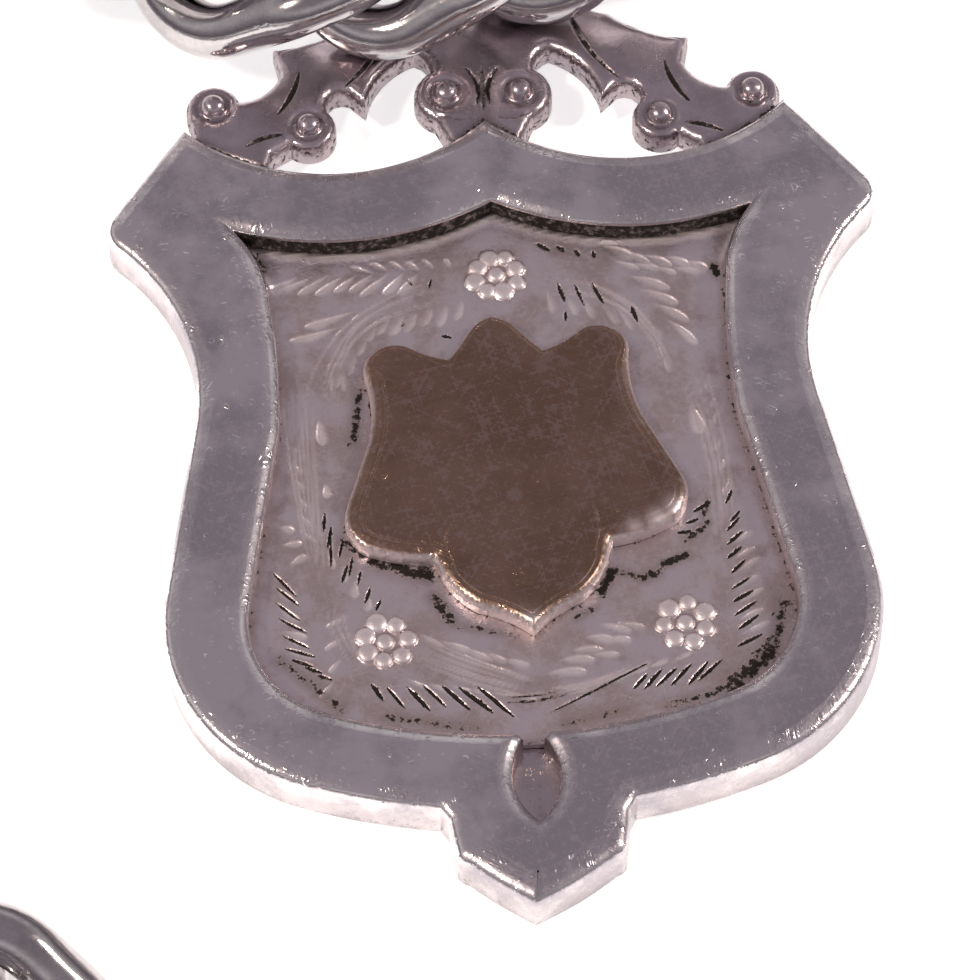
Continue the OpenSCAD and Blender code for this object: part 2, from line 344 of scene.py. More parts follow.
def scratches_group():
    """Height of fine scratches that cross at a few angles."""
    group, source, sink = new_group(
        "hair scratches", [("Scale", "Float", 2600.0), ("Thinness", "Float", 0.12)],
        [("Height", "Float", None)],
    )
    place = add_node(group, "TexCoord")
    total = None
    for turn in SCRATCH_TURNS:
        stretch = {"Rotation": (*SCRATCH_TILT, math.radians(turn)), "Scale": SCRATCH_STRETCH}
        spin = add_node(group, "Mapping", stretch, vector_type="TEXTURE")
        hair = add_node(group, "TexNoise", {"Detail": 2.0, "Roughness": 0.6})
        group.links.new(place.outputs["Object"], spin.inputs["Vector"])
        group.links.new(spin.outputs["Vector"], hair.inputs["Vector"])
        group.links.new(source.outputs["Scale"], hair.inputs["Scale"])
        away = math_node(group, "ABSOLUTE", math_node(group, "SUBTRACT", hair.outputs["Fac"], 0.5))
        line = math_node(group, "DIVIDE", away, source.outputs["Thinness"])
        line = math_node(group, "MINIMUM", line, 1.0)
        total = line if total is None else math_node(group, "MULTIPLY", total, line)
    group.links.new(total, sink.inputs["Height"])
    return group


# %% [markdown]
# ### Cloudy polish
# Handled silver is never evenly bright. A soft noise, spread by a low and a high limit, tells
# the materials where to mix their two tones and how rough to be.

# %% Cloudy polish


def cloud_group():
    """A soft patchy mask from 0 to 1."""
    group, source, sink = new_group(
        "cloudy polish", [("Scale", "Float", 250.0), ("Low", "Float", 0.35), ("High", "Float", 0.7)],
        [("Mask", "Float", None)],
    )
    place = add_node(group, "TexCoord")
    cloud = add_node(group, "TexNoise", {"Detail": 6.0, "Roughness": 0.6})
    group.links.new(place.outputs["Object"], cloud.inputs["Vector"])
    group.links.new(source.outputs["Scale"], cloud.inputs["Scale"])
    spread = add_node(group, "MapRange", interpolation_type="SMOOTHSTEP")
    group.links.new(cloud.outputs["Fac"], spread.inputs["Value"])
    group.links.new(source.outputs["Low"], spread.inputs["From Min"])
    group.links.new(source.outputs["High"], spread.inputs["From Max"])
    group.links.new(spread.outputs["Result"], sink.inputs["Mask"])
    return group


# %% [markdown]
# ### Tarnish and painted shade in the hollows
# Tarnish builds up where nothing rubs: at the foot of a wall and in a cut. The modelling cells
# write how dirty each vertex is, and at some places how dark its painted shade is. The group adds
# a crumbly noise to that value and keeps what rises above a threshold, so that a dark place
# breaks up into crumbs at its edge. It also passes the value on as a thin tint, which only
# colours the metal.

# %% Tarnish and painted shade that collect in the hollows
CRUMB_STRENGTH = 3.0
DARK_FROM, DARK_TO = 0.52, 0.72
PRESENT_FROM, PRESENT_TO = 0.02, 0.25
SPOT_FROM, SPOT_TO = 0.72, 0.8


def tarnish_and_shade_group():
    """Where tarnish and painted shade lie: the dirt_and_shade attribute, broken up into crumbs."""
    group, source, sink = new_group(
        "tarnish and painted shade in the hollows",
        [("Scale", "Float", 3500.0), ("Breakup", "Float", 0.8), ("Spots", "Float", 0.0)],
        [("Mask", "Float", None), ("Film", "Float", None)],
    )
    place = add_node(group, "TexCoord")
    dirt_and_shade = add_node(group, "Attribute", attribute_name="dirt_and_shade")
    crumb = add_node(group, "TexNoise", {"Detail": 5.0, "Roughness": 0.7})
    group.links.new(place.outputs["Object"], crumb.inputs["Vector"])
    group.links.new(source.outputs["Scale"], crumb.inputs["Scale"])
    centred = math_node(group, "SUBTRACT", crumb.outputs["Fac"], 0.5)
    broken = math_node(group, "MULTIPLY", centred, source.outputs["Breakup"])
    broken = math_node(group, "MULTIPLY", broken, CRUMB_STRENGTH)
    heavy = math_node(group, "ADD", dirt_and_shade.outputs["Fac"], broken)
    mask = ramp_node(group, heavy, DARK_FROM, DARK_TO)
    present = ramp_node(group, dirt_and_shade.outputs["Fac"], PRESENT_FROM, PRESENT_TO)
    mask = math_node(group, "MULTIPLY", mask, present)
    spot = ramp_node(group, crumb.outputs["Fac"], SPOT_FROM, SPOT_TO)
    spot = math_node(group, "MULTIPLY", spot, source.outputs["Spots"])
    group.links.new(math_node(group, "MAXIMUM", mask, spot), sink.inputs["Mask"])
    group.links.new(dirt_and_shade.outputs["Fac"], sink.inputs["Film"])
    return group


HAIR, CLOUD, TARNISH_AND_SHADE = scratches_group(), cloud_group(), tarnish_and_shade_group()
print("node groups:", [g.name for g in (HAIR, CLOUD, TARNISH_AND_SHADE)])

# %% [markdown]
# ## The metals
# Every metal here is the same recipe with other numbers: a Metallic surface, two close tones
# mixed by the cloudy polish, a brown-black where the tarnish and the painted shade lie, and a bump
# from the hair scratches and from a fine grain. Worn edges and fresh cuts are paler and matt, and
# so are some painted highlights, so the recipe reads a second attribute, worn_and_sheen, and makes
# the surface less metallic there. The Principled shader stays in the material itself, and so does
# anything that is the same all over the surface, because an exported material keeps only what is
# set on the shader's own sockets.

# %% One recipe for the metals
# A Mix node has a pair of inputs for every kind of value. These are the numbers of the ones used.
COLOUR_A, COLOUR_B, COLOUR_OUT = 6, 7, 2
NUMBER_A, NUMBER_B, NUMBER_OUT = 2, 3, 0
# TARNISH_AND_SHADE_BLACK paints tarnish and also painted shade. WORN_AND_SHEEN_SILVER paints wear and
# scratches and also painted highlights and sheen.
TARNISH_AND_SHADE_BLACK = (0.018, 0.012, 0.011, 1)
WORN_AND_SHEEN_SILVER = (0.94, 0.86, 0.89, 1)
MATT_METALLIC, TARNISH_AND_SHADE_METALLIC = 0.55, 0.35
WORN_AND_SHEEN_ROUGH, TARNISH_AND_SHADE_ROUGH, SCRATCH_POLISH = 0.42, 0.75, 0.05
SCRATCH_LINE, GRAIN_DEPTH, SCRATCH_DEPTH = 0.008, 0.00004, 0.00002
DARK_BUMP_LEVEL = 0.2


def mix_colour(tree, mask, first, second):
    node = add_node(tree, "Mix", data_type="RGBA")
    tree.links.new(mask, node.inputs[0])
    for socket, value in zip((node.inputs[COLOUR_A], node.inputs[COLOUR_B]), (first, second)):
        if isinstance(value, tuple):
            socket.default_value = value
        else:
            tree.links.new(value, socket)
    return node.outputs[COLOUR_OUT]


def mix_value(tree, mask, first, second):
    node = add_node(tree, "Mix", data_type="FLOAT")
    tree.links.new(mask, node.inputs[0])
    for socket, value in zip((node.inputs[NUMBER_A], node.inputs[NUMBER_B]), (first, second)):
        if isinstance(value, (int, float)):
            socket.default_value = value
        else:
            tree.links.new(value, socket)
    return node.outputs[NUMBER_OUT]


def place_group(tree, group, **values):
    node = add_node(tree, "Group", node_tree=group)
    for key, value in values.items():
        node.inputs[key.replace("_", " ")].default_value = value
    return node


# %% [markdown]
# ### From tarnish to shine
# The colour is built up in layers: bare metal in two tones, paler where it is worn or scratched
# and where a highlight or sheen is painted, then a thin tint, and the black on top, which is a
# tarnish crust in some places and painted shade in others. Roughness and metal follow the same
# masks, because crust is dull and hardly metallic. The grain and the scratches are two bumps in
# a row, so that each keeps its own depth.

# %% The recipe


def metal(
    name, bright, dull, dirt_and_shade_tint, roughness, rough_spread, scratch=0.3, grain=0.15, grain_scale=2600.0,
    cloud_scale=300.0, cloud_soft=0.16, spots=0.0, breakup=0.8, scratch_tone=0.12,
):
    material = bpy.data.materials.new(name)
    material.use_nodes = True
    tree = material.node_tree
    shader = tree.nodes["Principled BSDF"]
    limits = {"Low": 0.5 - cloud_soft, "High": 0.5 + cloud_soft}
    cloud = place_group(tree, CLOUD, Scale=cloud_scale, **limits).outputs["Mask"]
    dirt_and_shade = place_group(tree, TARNISH_AND_SHADE, Spots=spots, Breakup=breakup)
    hair = place_group(tree, HAIR).outputs["Height"]

    worn_and_sheen = add_node(tree, "Attribute", attribute_name="worn_and_sheen")
    colour = mix_colour(tree, cloud, bright, dull)
    # Paler for wear, scratches and painted highlights, then a tint and black for tarnish and painted
    # shade.
    colour = mix_colour(tree, worn_and_sheen.outputs["Fac"], colour, WORN_AND_SHEEN_SILVER)
    line = ramp_node(tree, hair, 0.0, SCRATCH_LINE)
    colour = mix_colour(tree, mix_value(tree, line, scratch_tone, 0.0), colour, WORN_AND_SHEEN_SILVER)
    colour = mix_colour(tree, dirt_and_shade.outputs["Film"], colour, dirt_and_shade_tint)
    colour = mix_colour(tree, dirt_and_shade.outputs["Mask"], colour, TARNISH_AND_SHADE_BLACK)
    tree.links.new(colour, shader.inputs["Base Color"])

    rough = mix_value(tree, cloud, roughness, roughness + rough_spread)
    rough = math_node(tree, "SUBTRACT", rough, math_node(tree, "MULTIPLY", hair, SCRATCH_POLISH))
    rough = mix_value(tree, worn_and_sheen.outputs["Fac"], rough, WORN_AND_SHEEN_ROUGH)
    rough = mix_value(tree, dirt_and_shade.outputs["Mask"], rough, TARNISH_AND_SHADE_ROUGH)
    tree.links.new(rough, shader.inputs["Roughness"])
    metallic = mix_value(tree, worn_and_sheen.outputs["Fac"], 1.0, MATT_METALLIC)
    metallic = mix_value(tree, dirt_and_shade.outputs["Mask"], metallic, TARNISH_AND_SHADE_METALLIC)
    tree.links.new(metallic, shader.inputs["Metallic"])

    place = add_node(tree, "TexCoord")
    pores = add_node(tree, "TexNoise", {"Scale": grain_scale, "Detail": 4.0, "Roughness": 0.6})
    tree.links.new(place.outputs["Object"], pores.inputs["Vector"])
    height = mix_value(tree, dirt_and_shade.outputs["Mask"], pores.outputs["Fac"], DARK_BUMP_LEVEL)
    first = add_node(tree, "Bump", {"Strength": grain, "Distance": GRAIN_DEPTH})
    tree.links.new(height, first.inputs["Height"])
    second = add_node(tree, "Bump", {"Strength": scratch, "Distance": SCRATCH_DEPTH})
    tree.links.new(hair, second.inputs["Height"])
    tree.links.new(first.outputs["Normal"], second.inputs["Normal"])
    tree.links.new(second.outputs["Normal"], shader.inputs["Normal"])
    return material


# %% [markdown]
# ### Five finishes
# The rim is the brightest and the most scratched, since every cloth rubs it. The field is matt
# and stained. The crest keeps its cast skin and is painted darker as well, which stands in for
# the shade and the dark reflections on it. The links are smooth, because they polish one another.
# The small plate is a copper-coloured metal that has gone dull.

# %% The five finishes
RIM_SILVER = metal(
    "polished rim silver", (0.95, 0.90, 0.91, 1), (0.56, 0.52, 0.56, 1), (0.48, 0.38, 0.37, 1),
    roughness=0.17, rough_spread=0.16, scratch=1.0, scratch_tone=0.3, grain=0.25, cloud_scale=230,
    cloud_soft=0.09, breakup=0.2, spots=0.4,
)
FIELD_SILVER = metal(
    "matt field silver", (0.90, 0.81, 0.84, 1), (0.56, 0.47, 0.48, 1), (0.42, 0.33, 0.32, 1),
    roughness=0.34, rough_spread=0.14, scratch=0.5, scratch_tone=0.2, grain=0.5, grain_scale=3200,
    cloud_scale=620, cloud_soft=0.1, spots=0.4, breakup=0.6,
)
# The crest's darker tones are partly its cast skin and partly painted shade and dark reflection.
CREST_SILVER_SHADED = metal(
    "cast crest silver with painted shade", (0.74, 0.65, 0.69, 1), (0.5, 0.43, 0.46, 1), (0.22, 0.17, 0.18, 1),
    roughness=0.2, rough_spread=0.12, scratch=0.1, grain=0.25, cloud_scale=500, breakup=0.5,
)
LINK_SILVER = metal(
    "polished link silver", (0.68, 0.65, 0.66, 1), (0.5, 0.475, 0.485, 1), (0.4, 0.34, 0.34, 1),
    roughness=0.09, rough_spread=0.07, scratch=0.2, grain=0.1, cloud_scale=350, spots=0.1,
)
ROSE_METAL = metal(
    "rose metal plate", (0.42, 0.27, 0.2, 1), (0.29, 0.185, 0.135, 1), (0.55, 0.47, 0.48, 1),
    roughness=0.25, rough_spread=0.1, scratch=1.0, scratch_tone=0.13, grain=0.15, cloud_scale=300,
    cloud_soft=0.12,
)
print("materials:", [m.name for m in bpy.data.materials])

# %% [markdown]
# ## The shield's body
# The medal is one heavy casting: a flat rim, an outer wall that leans into a soft bevel, and a
# recess with a wide chamfer along its edge. It could be cut with a boolean, but then the bevels
# would follow the boolean's ragged edges. Here the outer wall and its bevel grow inward from the
# shield's outline, ring by ring. The chamfer grows outward from the recess's outline in the
# same way, and the flat rim is filled between the last ring of each.

# %% Sections of the shield's edges
THICKNESS = 2.3
FLOOR_Z = 1.15
POCKET_Z = 0.85
WALL_LOW, WALL_HIGH = 0.3, 1.825
BEVEL = (
    # sideways, up
    (0.03, 0.12), (0.05, 0.1), (0.08, 0.08), (0.1, 0.05), (0.04, 0.012), (0.32, 0.11),
    (0.03, 0.003), (0.04, 0),
)
UNDERSIDE = ((0.06, -0.14), (0.12, -0.1), (0.2, -0.06))
CHAMFER = (
    (0.04, 0.1), (0.05, 0.06), (0.22, 0.12), (0.03, 0.01), (0.24, 0.08), (0.04, 0.002), (0.04, 0),
)
CHAMFER_DEPTH = sum(up for outward, up in CHAMFER)
LOBE_FROM, LOBE_TO, LOBE_EXTRA = 12.6, 13.8, 0.45
# The top wall of the recess is dark with painted shade; the outer wall is painted darker toward its foot.
TOP_WALL_SHADE, SIDE_WALL_DIRT, POCKET_DIRT, OUTER_FOOT_DARKENING = 0.7, 0.3, 0.5, 0.42
TOP_WALL_FROM, POCKET_FROM = 10, -9.5
OUTER_FROM, OUTER_TO = 0.2, 1.9
CLOSE = 0.01

# %% [markdown]
# ### Walls, rim and recess
# The body is closed from two outlines. The outer one gives the wall, the underside and the bevel,
# and the inner one gives the recess and its chamfer. What is left between them is the flat rim.

# %% Shield body


def at_lobe(points):
    """The bevel is wider on the lobe at the foot."""
    return 1 + LOBE_EXTRA * smooth(-points[:, 1], LOBE_FROM, LOBE_TO)


bm = bmesh.new()
foot = draw_outline(bm, SHIELD, WALL_LOW)
shoulder = step_ring(bm, foot, ((0, WALL_HIGH - WALL_LOW),))
fill(bm, loop_edges(step_ring(bm, foot, UNDERSIDE, -1)))
step_ring(bm, shoulder, BEVEL, -1, widen=at_lobe)
ring = draw_outline(bm, OPENING, THICKNESS - CHAMFER_DEPTH)
fill(bm, wall_from(bm, loop_edges(ring), POCKET_Z - THICKNESS + CHAMFER_DEPTH))
step_ring(bm, ring, CHAMFER)
bmesh.ops.remove_doubles(bm, verts=bm.verts, dist=CLOSE / 5)
flat = [e for e in bm.edges if e.is_boundary and min(v.co.z for v in e.verts) > THICKNESS - CLOSE]
bmesh.ops.triangle_fill(bm, use_beauty=True, edges=flat)
print("open edges left:", sum(e.is_boundary for e in bm.edges))
opening = outline_points(OPENING)

# %% [markdown]
# ### Dirt and painted shade on the body
# Dirt could be painted by hand or baked from the shape, but a rule is shorter and can be read:
# the side walls of the recess and its pocket are dirty, the top wall is dark with painted shade,
# and the outer wall is painted darker toward its foot. The value is kept on each vertex, so it
# travels with the mesh.

# %% Write the dirt and the painted shade on the body


def write_layer(piece, name, values):
    """Writes one value for each vertex, which the materials read."""
    layer = piece.data.attributes.new(name, "FLOAT", "POINT")
    layer.data.foreach_set("value", np.asarray(values, np.float32))


def vertex_array(piece):
    """The places of a finished piece's vertices, in millimetres."""
    flat = np.zeros(len(piece.data.vertices) * 3, np.float32)
    piece.data.vertices.foreach_get("co", flat)
    return flat.reshape(-1, 3) / MM


body = finish_piece("shield_body", bm, RIM_SILVER, ["fob"])
points = vertex_array(body)
low = points[:, 2] < THICKNESS - CHAMFER_DEPTH + CLOSE
deep = low & (distance_to(points[:, :2], opening) < 2 * CLOSE)
# Dirt on the side walls and in the pocket, and painted shade on the top wall.
wall_dirt_and_shade = np.where(points[:, 1] < POCKET_FROM, POCKET_DIRT, SIDE_WALL_DIRT)
wall_dirt_and_shade = np.where(points[:, 1] > TOP_WALL_FROM, TOP_WALL_SHADE, wall_dirt_and_shade)
# The outer wall is painted darker toward its foot.
outer = OUTER_FOOT_DARKENING * (1 - smooth(points[:, 2], OUTER_FROM, OUTER_TO))
write_layer(body, "dirt_and_shade", np.where(deep, wall_dirt_and_shade, outer))

# %% [markdown]
# ## Finely divided slabs
# The engraved field, the small plate and the crest all have relief that no profile can draw:
# cuts, bosses, domes and soft cast edges. A displacement texture would lose its fine lines, and
# sculpting can't be repeated. Here each starts as a closed slab with a finely divided top, cut
# to its outline by a boolean. Cells near a feature are then divided again, so that a cut a
# fifth of a millimetre wide still has clean sides, and the points of the top are moved to the
# height that simple functions of their place give.

# %% Cut a slab
TOUCH, LEVEL = 0.0008, 0.001


def as_object(bm):
    bmesh.ops.recalc_face_normals(bm, faces=bm.faces)
    mesh = bpy.data.meshes.new("stock")
    bm.to_mesh(mesh)
    bm.free()
    made = bpy.data.objects.new("stock", mesh)
    scene.collection.objects.link(made)
    return made


def shared_by(stock, tool):
    """The part that two closed meshes share, as a new mesh."""
    stock, tool = as_object(stock), as_object(tool)
    cut = stock.modifiers.new("cut", "BOOLEAN")
    cut.operation, cut.solver, cut.object, cut.use_self = "INTERSECT", "EXACT", tool, True
    graph = bpy.context.evaluated_depsgraph_get()
    bm = bmesh.new()
    bm.from_mesh(stock.evaluated_get(graph).to_mesh())
    for spent in (stock, tool):
        bpy.data.objects.remove(spent)
    bmesh.ops.remove_doubles(bm, verts=bm.verts, dist=TOUCH)
    return bm


def prism(bm, rows, low, high, grow=0.0):
    ring = draw_outline(bm, rows, low)
    for v, place in zip(ring, offset_loop(outline_points(rows), np.full(len(ring), grow))):
        v.co.xy = place
    foot = loop_edges(ring)
    fill(bm, wall_from(bm, foot, high - low))
    fill(bm, foot)


def cut_slab(tool, low, high, cell):
    """A closed slab with a finely divided top, cut to the shape of the tool."""
    xy = np.array([v.co.xy for v in tool.verts])
    corner, size = xy.min(0) - cell, np.ptp(xy, 0) + 2 * cell
    slab = bmesh.new()
    count = [round(s / cell) for s in size]
    top = bmesh.ops.create_grid(slab, x_segments=count[0], y_segments=count[1], size=0.5)["verts"]
    bmesh.ops.scale(slab, vec=(*size, 1), verts=top)
    bmesh.ops.translate(slab, vec=(*(corner + size / 2), high), verts=top)
    rim = [e for e in slab.edges if e.is_boundary]
    fill(slab, wall_from(slab, rim, low - high))
    return shared_by(slab, tool)


# %% [markdown]
# ### Finer cells where the work is
# A slab that is fine all over would have millions of triangles. So the cells are divided again
# only where a function says that a cut, a boss or an edge is near, and the top is lifted last.

# %% Divide the cells near a feature, and find the slab's edge


def on_top(verts, high):
    return all(v.co.z > high - LEVEL for v in verts)


def divide_near(bm, high, distance, reach):
    """Divides the edges of the top whose middle lies within reach of a feature."""
    edges = [e for e in bm.edges if on_top(e.verts, high)]
    middles = np.array([(e.verts[0].co.xy + e.verts[1].co.xy) / 2 for e in edges])
    near = distance(middles) < reach
    chosen = [e for e, close in zip(edges, near) if close]
    bmesh.ops.subdivide_edges(bm, edges=chosen, cuts=1, use_grid_fill=True)


def top_rim(bm, high):
    """End points of the edges round the slab's top."""
    rim = [
        e for e in bm.edges
        if on_top(e.verts, high) and any(not on_top(f.verts, high) for f in e.link_faces)
    ]
    return np.array([[v.co.xy for v in e.verts] for e in rim])


def lift_top(bm, high, height_of):
    """Moves the top's points to the heights that height_of gives. Returns their places."""
    top = [v for v in bm.verts if on_top([v], high)]
    places = np.array([v.co.xy for v in top])
    for v, z in zip(top, height_of(places)):
        v.co.z = z
    return places


# %% [markdown]
# ## Cuts of the graver
# Bright-cut engraving is made of short strokes. A graver goes in, swells and comes out again,
# so each stroke is a curved boat-shaped valley whose deepest line may lie to one side: a stroke
# with its valley at one side shows a single bright facet. Strokes come in combs, where the hand
# repeats one stroke along a line and slowly changes its length and angle, so a comb is one row
# of a table. Thin dark combs are the ferns, and wide shallow ones that broaden toward their
# outer end are the leaves. Long strokes side by side are the stems.

# %% Strokes and combs
HAND = random.Random(11)
UNEVEN_LENGTH, UNEVEN_TURN, UNEVEN_PLACE, UNEVEN_WIDTH = 0.15, 5, 0.06, 0.2


def uneven(share):
    """A factor near 1."""
    return HAND.uniform(1 - share, 1 + share)


def comb(x0, y0, x1, y1, count, length, angle, width, depth, dirt_and_shade, valley=0.0, bend=0.0):
    """Strokes set out along a line, as rows of place, end, bend, width, depth, dirt and valley."""
    strokes = []
    for i in range(count):
        t = i / max(count - 1, 1)
        x, y = x0 + (x1 - x0) * t, y0 + (y1 - y0) * t
        reach = (length[0] + (length[1] - length[0]) * t) * uneven(UNEVEN_LENGTH)
        turn = math.radians(angle[0] + (angle[1] - angle[0]) * t + HAND.uniform(-UNEVEN_TURN, UNEVEN_TURN))
        x, y = x + HAND.uniform(-UNEVEN_PLACE, UNEVEN_PLACE), y + HAND.uniform(-UNEVEN_PLACE, UNEVEN_PLACE)
        swell = width * uneven(UNEVEN_WIDTH)
        end = (x + reach * math.cos(turn), y + reach * math.sin(turn))
        strokes.append((x, y, *end, bend, swell, depth, dirt_and_shade, valley))
    return strokes


# %% [markdown]
# ### Ferns and leaves
# The rows follow the places, lengths and angles of the cuts in the photograph. A fern is a comb
# of thin deep strokes that hold tarnish, and a leaf is one of wide clean strokes.

# %% Table of the ferns and leaves
FERNS = [
    # x0, y0, x1, y1, count, (first, last) length, (first, last) angle, width, depth, dirt
    (7.62, -1.6, 7.65, -6.4, 9, (0.8, 1.15), (46, 28), 0.14, 0.09, 0.95),
    (7.75, -0.5, 7.8, -1.2, 2, (0.7, 0.7), (60, 50), 0.12, 0.07, 0.9),
    (-9.0, -2.3, -8.7, -5.5, 6, (1.4, 1.1), (-48, -24), 0.15, 0.09, 0.9),
    (-8.5, -5.9, -7.6, -6.6, 3, (0.9, 0.7), (-26, -20), 0.14, 0.08, 0.9),
    (-7.0, 0.15, -5.1, -3.7, 7, (0.9, 0.6), (-96, -114), 0.13, 0.08, 0.9),
    (-6.75, -1.0, -6.2, -2.1, 2, (1.2, 0.8), (-97, -104), 0.14, 0.09, 0.9),
    (-5.7, -7.15, -1.9, -7.5, 7, (0.95, 1.7), (-60, -46), 0.17, 0.1, 1.0),
    (7.05, -6.95, 4.3, -7.3, 6, (1.25, 1.0), (222, 230), 0.16, 0.1, 1.0),
    (4.4, -6.95, 4.3, -7.1, 1, (3.7, 3.7), (204.5, 204.5), 0.12, 0.08, 0.9),
    (2.3, 9.6, 3.5, 9.55, 3, (0.9, 1.1), (-74, -72), 0.15, 0.08, 0.8),
    (2.5, 8.35, 4.95, 8.45, 2, (0.5, 0.8), (-92, -76), 0.16, 0.08, 0.85),
    (1.65, 11.5, 3.75, 10.95, 4, (0.55, 0.35), (-35, -75), 0.17, 0.07, 0.85),
    (7.1, -0.4, 6.4, -1.5, 3, (0.7, 0.5), (-150, -170), 0.15, 0.08, 0.95),
    (-3.4, 10.2, -2.5, 10.05, 2, (0.4, 0.4), (-60, -100), 0.12, 0.06, 0.7),
    (-3.6, 8.3, -2.3, 7.55, 2, (0.3, 0.4), (-120, -20), 0.14, 0.06, 0.8),
]
LEAVES = [
    # as FERNS, then valley, bend
    (-2.9, 10.4, -7.4, 10.45, 9, (1.44, 1.38), (228, 206), 0.57, 0.06, 0, -0.6, 0.06),
    (-1.7, 10.4, -4.6, 10.5, 6, (0.6, 0.84), (118, 160), 0.41, 0.045, 0, -0.5, 0.0),
    (-5.3, 8.85, -5.9, 8.1, 2, (1.92, 1.92), (193, 190), 0.62, 0.065, 0, -0.6, 0.06),
    (-1.4, 9.2, -4.2, 8.5, 6, (1.14, 1.08), (-104, -124), 0.54, 0.04, 0, 0.5, 0.06),
    (-4.6, 8.3, -6.0, 6.4, 4, (1.08, 0.96), (-118, -104), 0.46, 0.035, 0, 0.5, 0.05),
    (4.0, 11.1, 7.1, 10.2, 5, (1.26, 1.14), (-26, -34), 0.68, 0.06, 0, 0.6, 0.05),
    (4.4, 10.4, 6.6, 9.9, 4, (1.14, 1.02), (-24, -16), 0.54, 0.055, 0, 0.5, 0.03),
    (4.9, 9.65, 6.1, 7.8, 4, (1.8, 1.56), (-26, -46), 0.57, 0.06, 0, 0.6, 0.05),
    (1.9, 9.3, 4.4, 8.5, 5, (1.08, 1.2), (-76, -60), 0.49, 0.035, 0, -0.5, 0.06),
    (5.2, 8.3, 6.0, 6.4, 4, (1.08, 0.96), (-60, -76), 0.46, 0.035, 0, -0.5, 0.05),
    (0.6, -7.15, 2.6, -5.3, 5, (1.44, 1.2), (4, -12), 0.57, 0.055, 0, 0.6, 0.05),
    (2.2, -6.5, 3.4, -5.2, 3, (1.08, 0.96), (-4, -18), 0.49, 0.05, 0, 0.6, 0.0),
    (-8.7, -0.3, -8.4, -2.1, 3, (0.72, 0.72), (-20, 30), 0.49, 0.06, 0, 0.5, 0.0),
    (-9.0, -3.0, -8.6, -5.6, 4, (0.96, 0.96), (-40, -20), 0.46, 0.045, 0, 0.5, 0.0),
    (-6.9, -1.4, -5.6, -3.5, 4, (0.96, 0.72), (-80, -95), 0.46, 0.045, 0, 0.5, 0.0),
    (-3.9, -5.2, -0.9, -6.4, 5, (1.32, 1.2), (-34, -24), 0.49, 0.04, 0, 0.5, 0.0),
    (7.8, -2.2, 7.8, -6.0, 7, (1.08, 1.08), (34, 24), 0.41, 0.04, 0, 0.5, 0.0),
    (6.85, 3.95, 6.9, 3.9, 1, (1.2, 1.2), (-84, -84), 0.76, 0.09, 0, 0.7, 0.0),
    (-7.0, 4.15, -6.9, 1.4, 2, (1.14, 0.72), (-84, -80), 0.54, 0.08, 0, -0.7, 0.0),
    (-8.3, 3.4, -8.0, -0.6, 6, (0.8, 0.9), (-58, -48), 0.32, 0.045, 0, 0.5, 0.0),
    (7.6, 5.4, 8.1, 0.6, 6, (0.8, 0.8), (-104, -118), 0.3, 0.04, 0, -0.5, 0.0),
    (-6.2, -4.2, -6.9, -6.9, 4, (1.0, 0.8), (-150, -128), 0.3, 0.045, 0, -0.5, 0.0),
    (-4.4, -7.0, -0.6, -8.0, 6, (0.9, 0.9), (-30, -14), 0.3, 0.045, 0, 0.5, 0.0),
    (1.4, -7.9, 5.2, -6.9, 6, (0.9, 0.8), (16, 30), 0.3, 0.045, 0, -0.5, 0.0),
    (-6.4, 6.6, -5.9, 6.4, 2, (1.44, 1.2), (-96, -92), 0.41, 0.035, 0, -0.5, 0.0),
]

# %% [markdown]
# ### Stems
# A stem is a bundle of long shallow strokes that run nearly side by side. The hand never starts
# or ends two of them at the same place, so a fixed seed draws those differences.

# %% Stems
BUNDLES = [
    # x0, y0, x1, y1, bend, count, spread, width, depth, dirt
    (-1.5, 9.75, -7.3, 4.0, -1.5, 5, 0.75, 0.17, 0.035, 0.18),
    (-7.75, 6.2, -7.3, -3.6, -0.1, 6, 1.0, 0.17, 0.035, 0.2),
    (1.4, 9.9, 6.6, 4.6, 1.35, 4, 0.6, 0.17, 0.035, 0.18),
    (6.9, 6.0, 7.55, -3.4, 0.35, 4, 0.75, 0.17, 0.035, 0.2),
    (-4.1, -5.7, 0.5, -7.9, -0.1, 6, 0.95, 0.18, 0.04, 0.15),
    (0.2, -8.05, 4.8, -6.75, -0.2, 3, 0.3, 0.2, 0.06, 0.2),
    (-6.9, -3.4, -5.7, -7.0, -0.25, 3, 0.5, 0.15, 0.03, 0.2),
    (-0.9, -8.1, 1.5, -7.9, -0.08, 2, 0.25, 0.13, 0.06, 0.7),
]
# ranges that the hand's unevenness is drawn from
BUNDLE_START, BUNDLE_END, BUNDLE_FAN = (0, 0.15), (0.8, 1), (0.4, 1.2)
BUNDLE_WIDTH, BUNDLE_BOW, BUNDLE_VALLEY = (0.8, 1.4), (0.92, 1.04), (-0.5, 0.5)


def bundle(x0, y0, x1, y1, bend, count, spread, width, depth, dirt_and_shade):
    """Nearly parallel strokes side by side, with uneven ends."""
    start, end = Vector((x0, y0)), Vector((x1, y1))
    side = Vector((y0 - y1, x1 - x0)).normalized()
    strokes = []
    for i in range(count):
        shift = side * spread * (i / max(count - 1, 1) - 0.5)
        a = start.lerp(end, HAND.uniform(*BUNDLE_START)) + shift
        b = start.lerp(end, HAND.uniform(*BUNDLE_END)) + shift * HAND.uniform(*BUNDLE_FAN)
        swell = width * HAND.uniform(*BUNDLE_WIDTH)
        bow, valley = bend * HAND.uniform(*BUNDLE_BOW), HAND.uniform(*BUNDLE_VALLEY)
        strokes.append((*a, *b, bow, swell, depth, dirt_and_shade, valley))
    return strokes


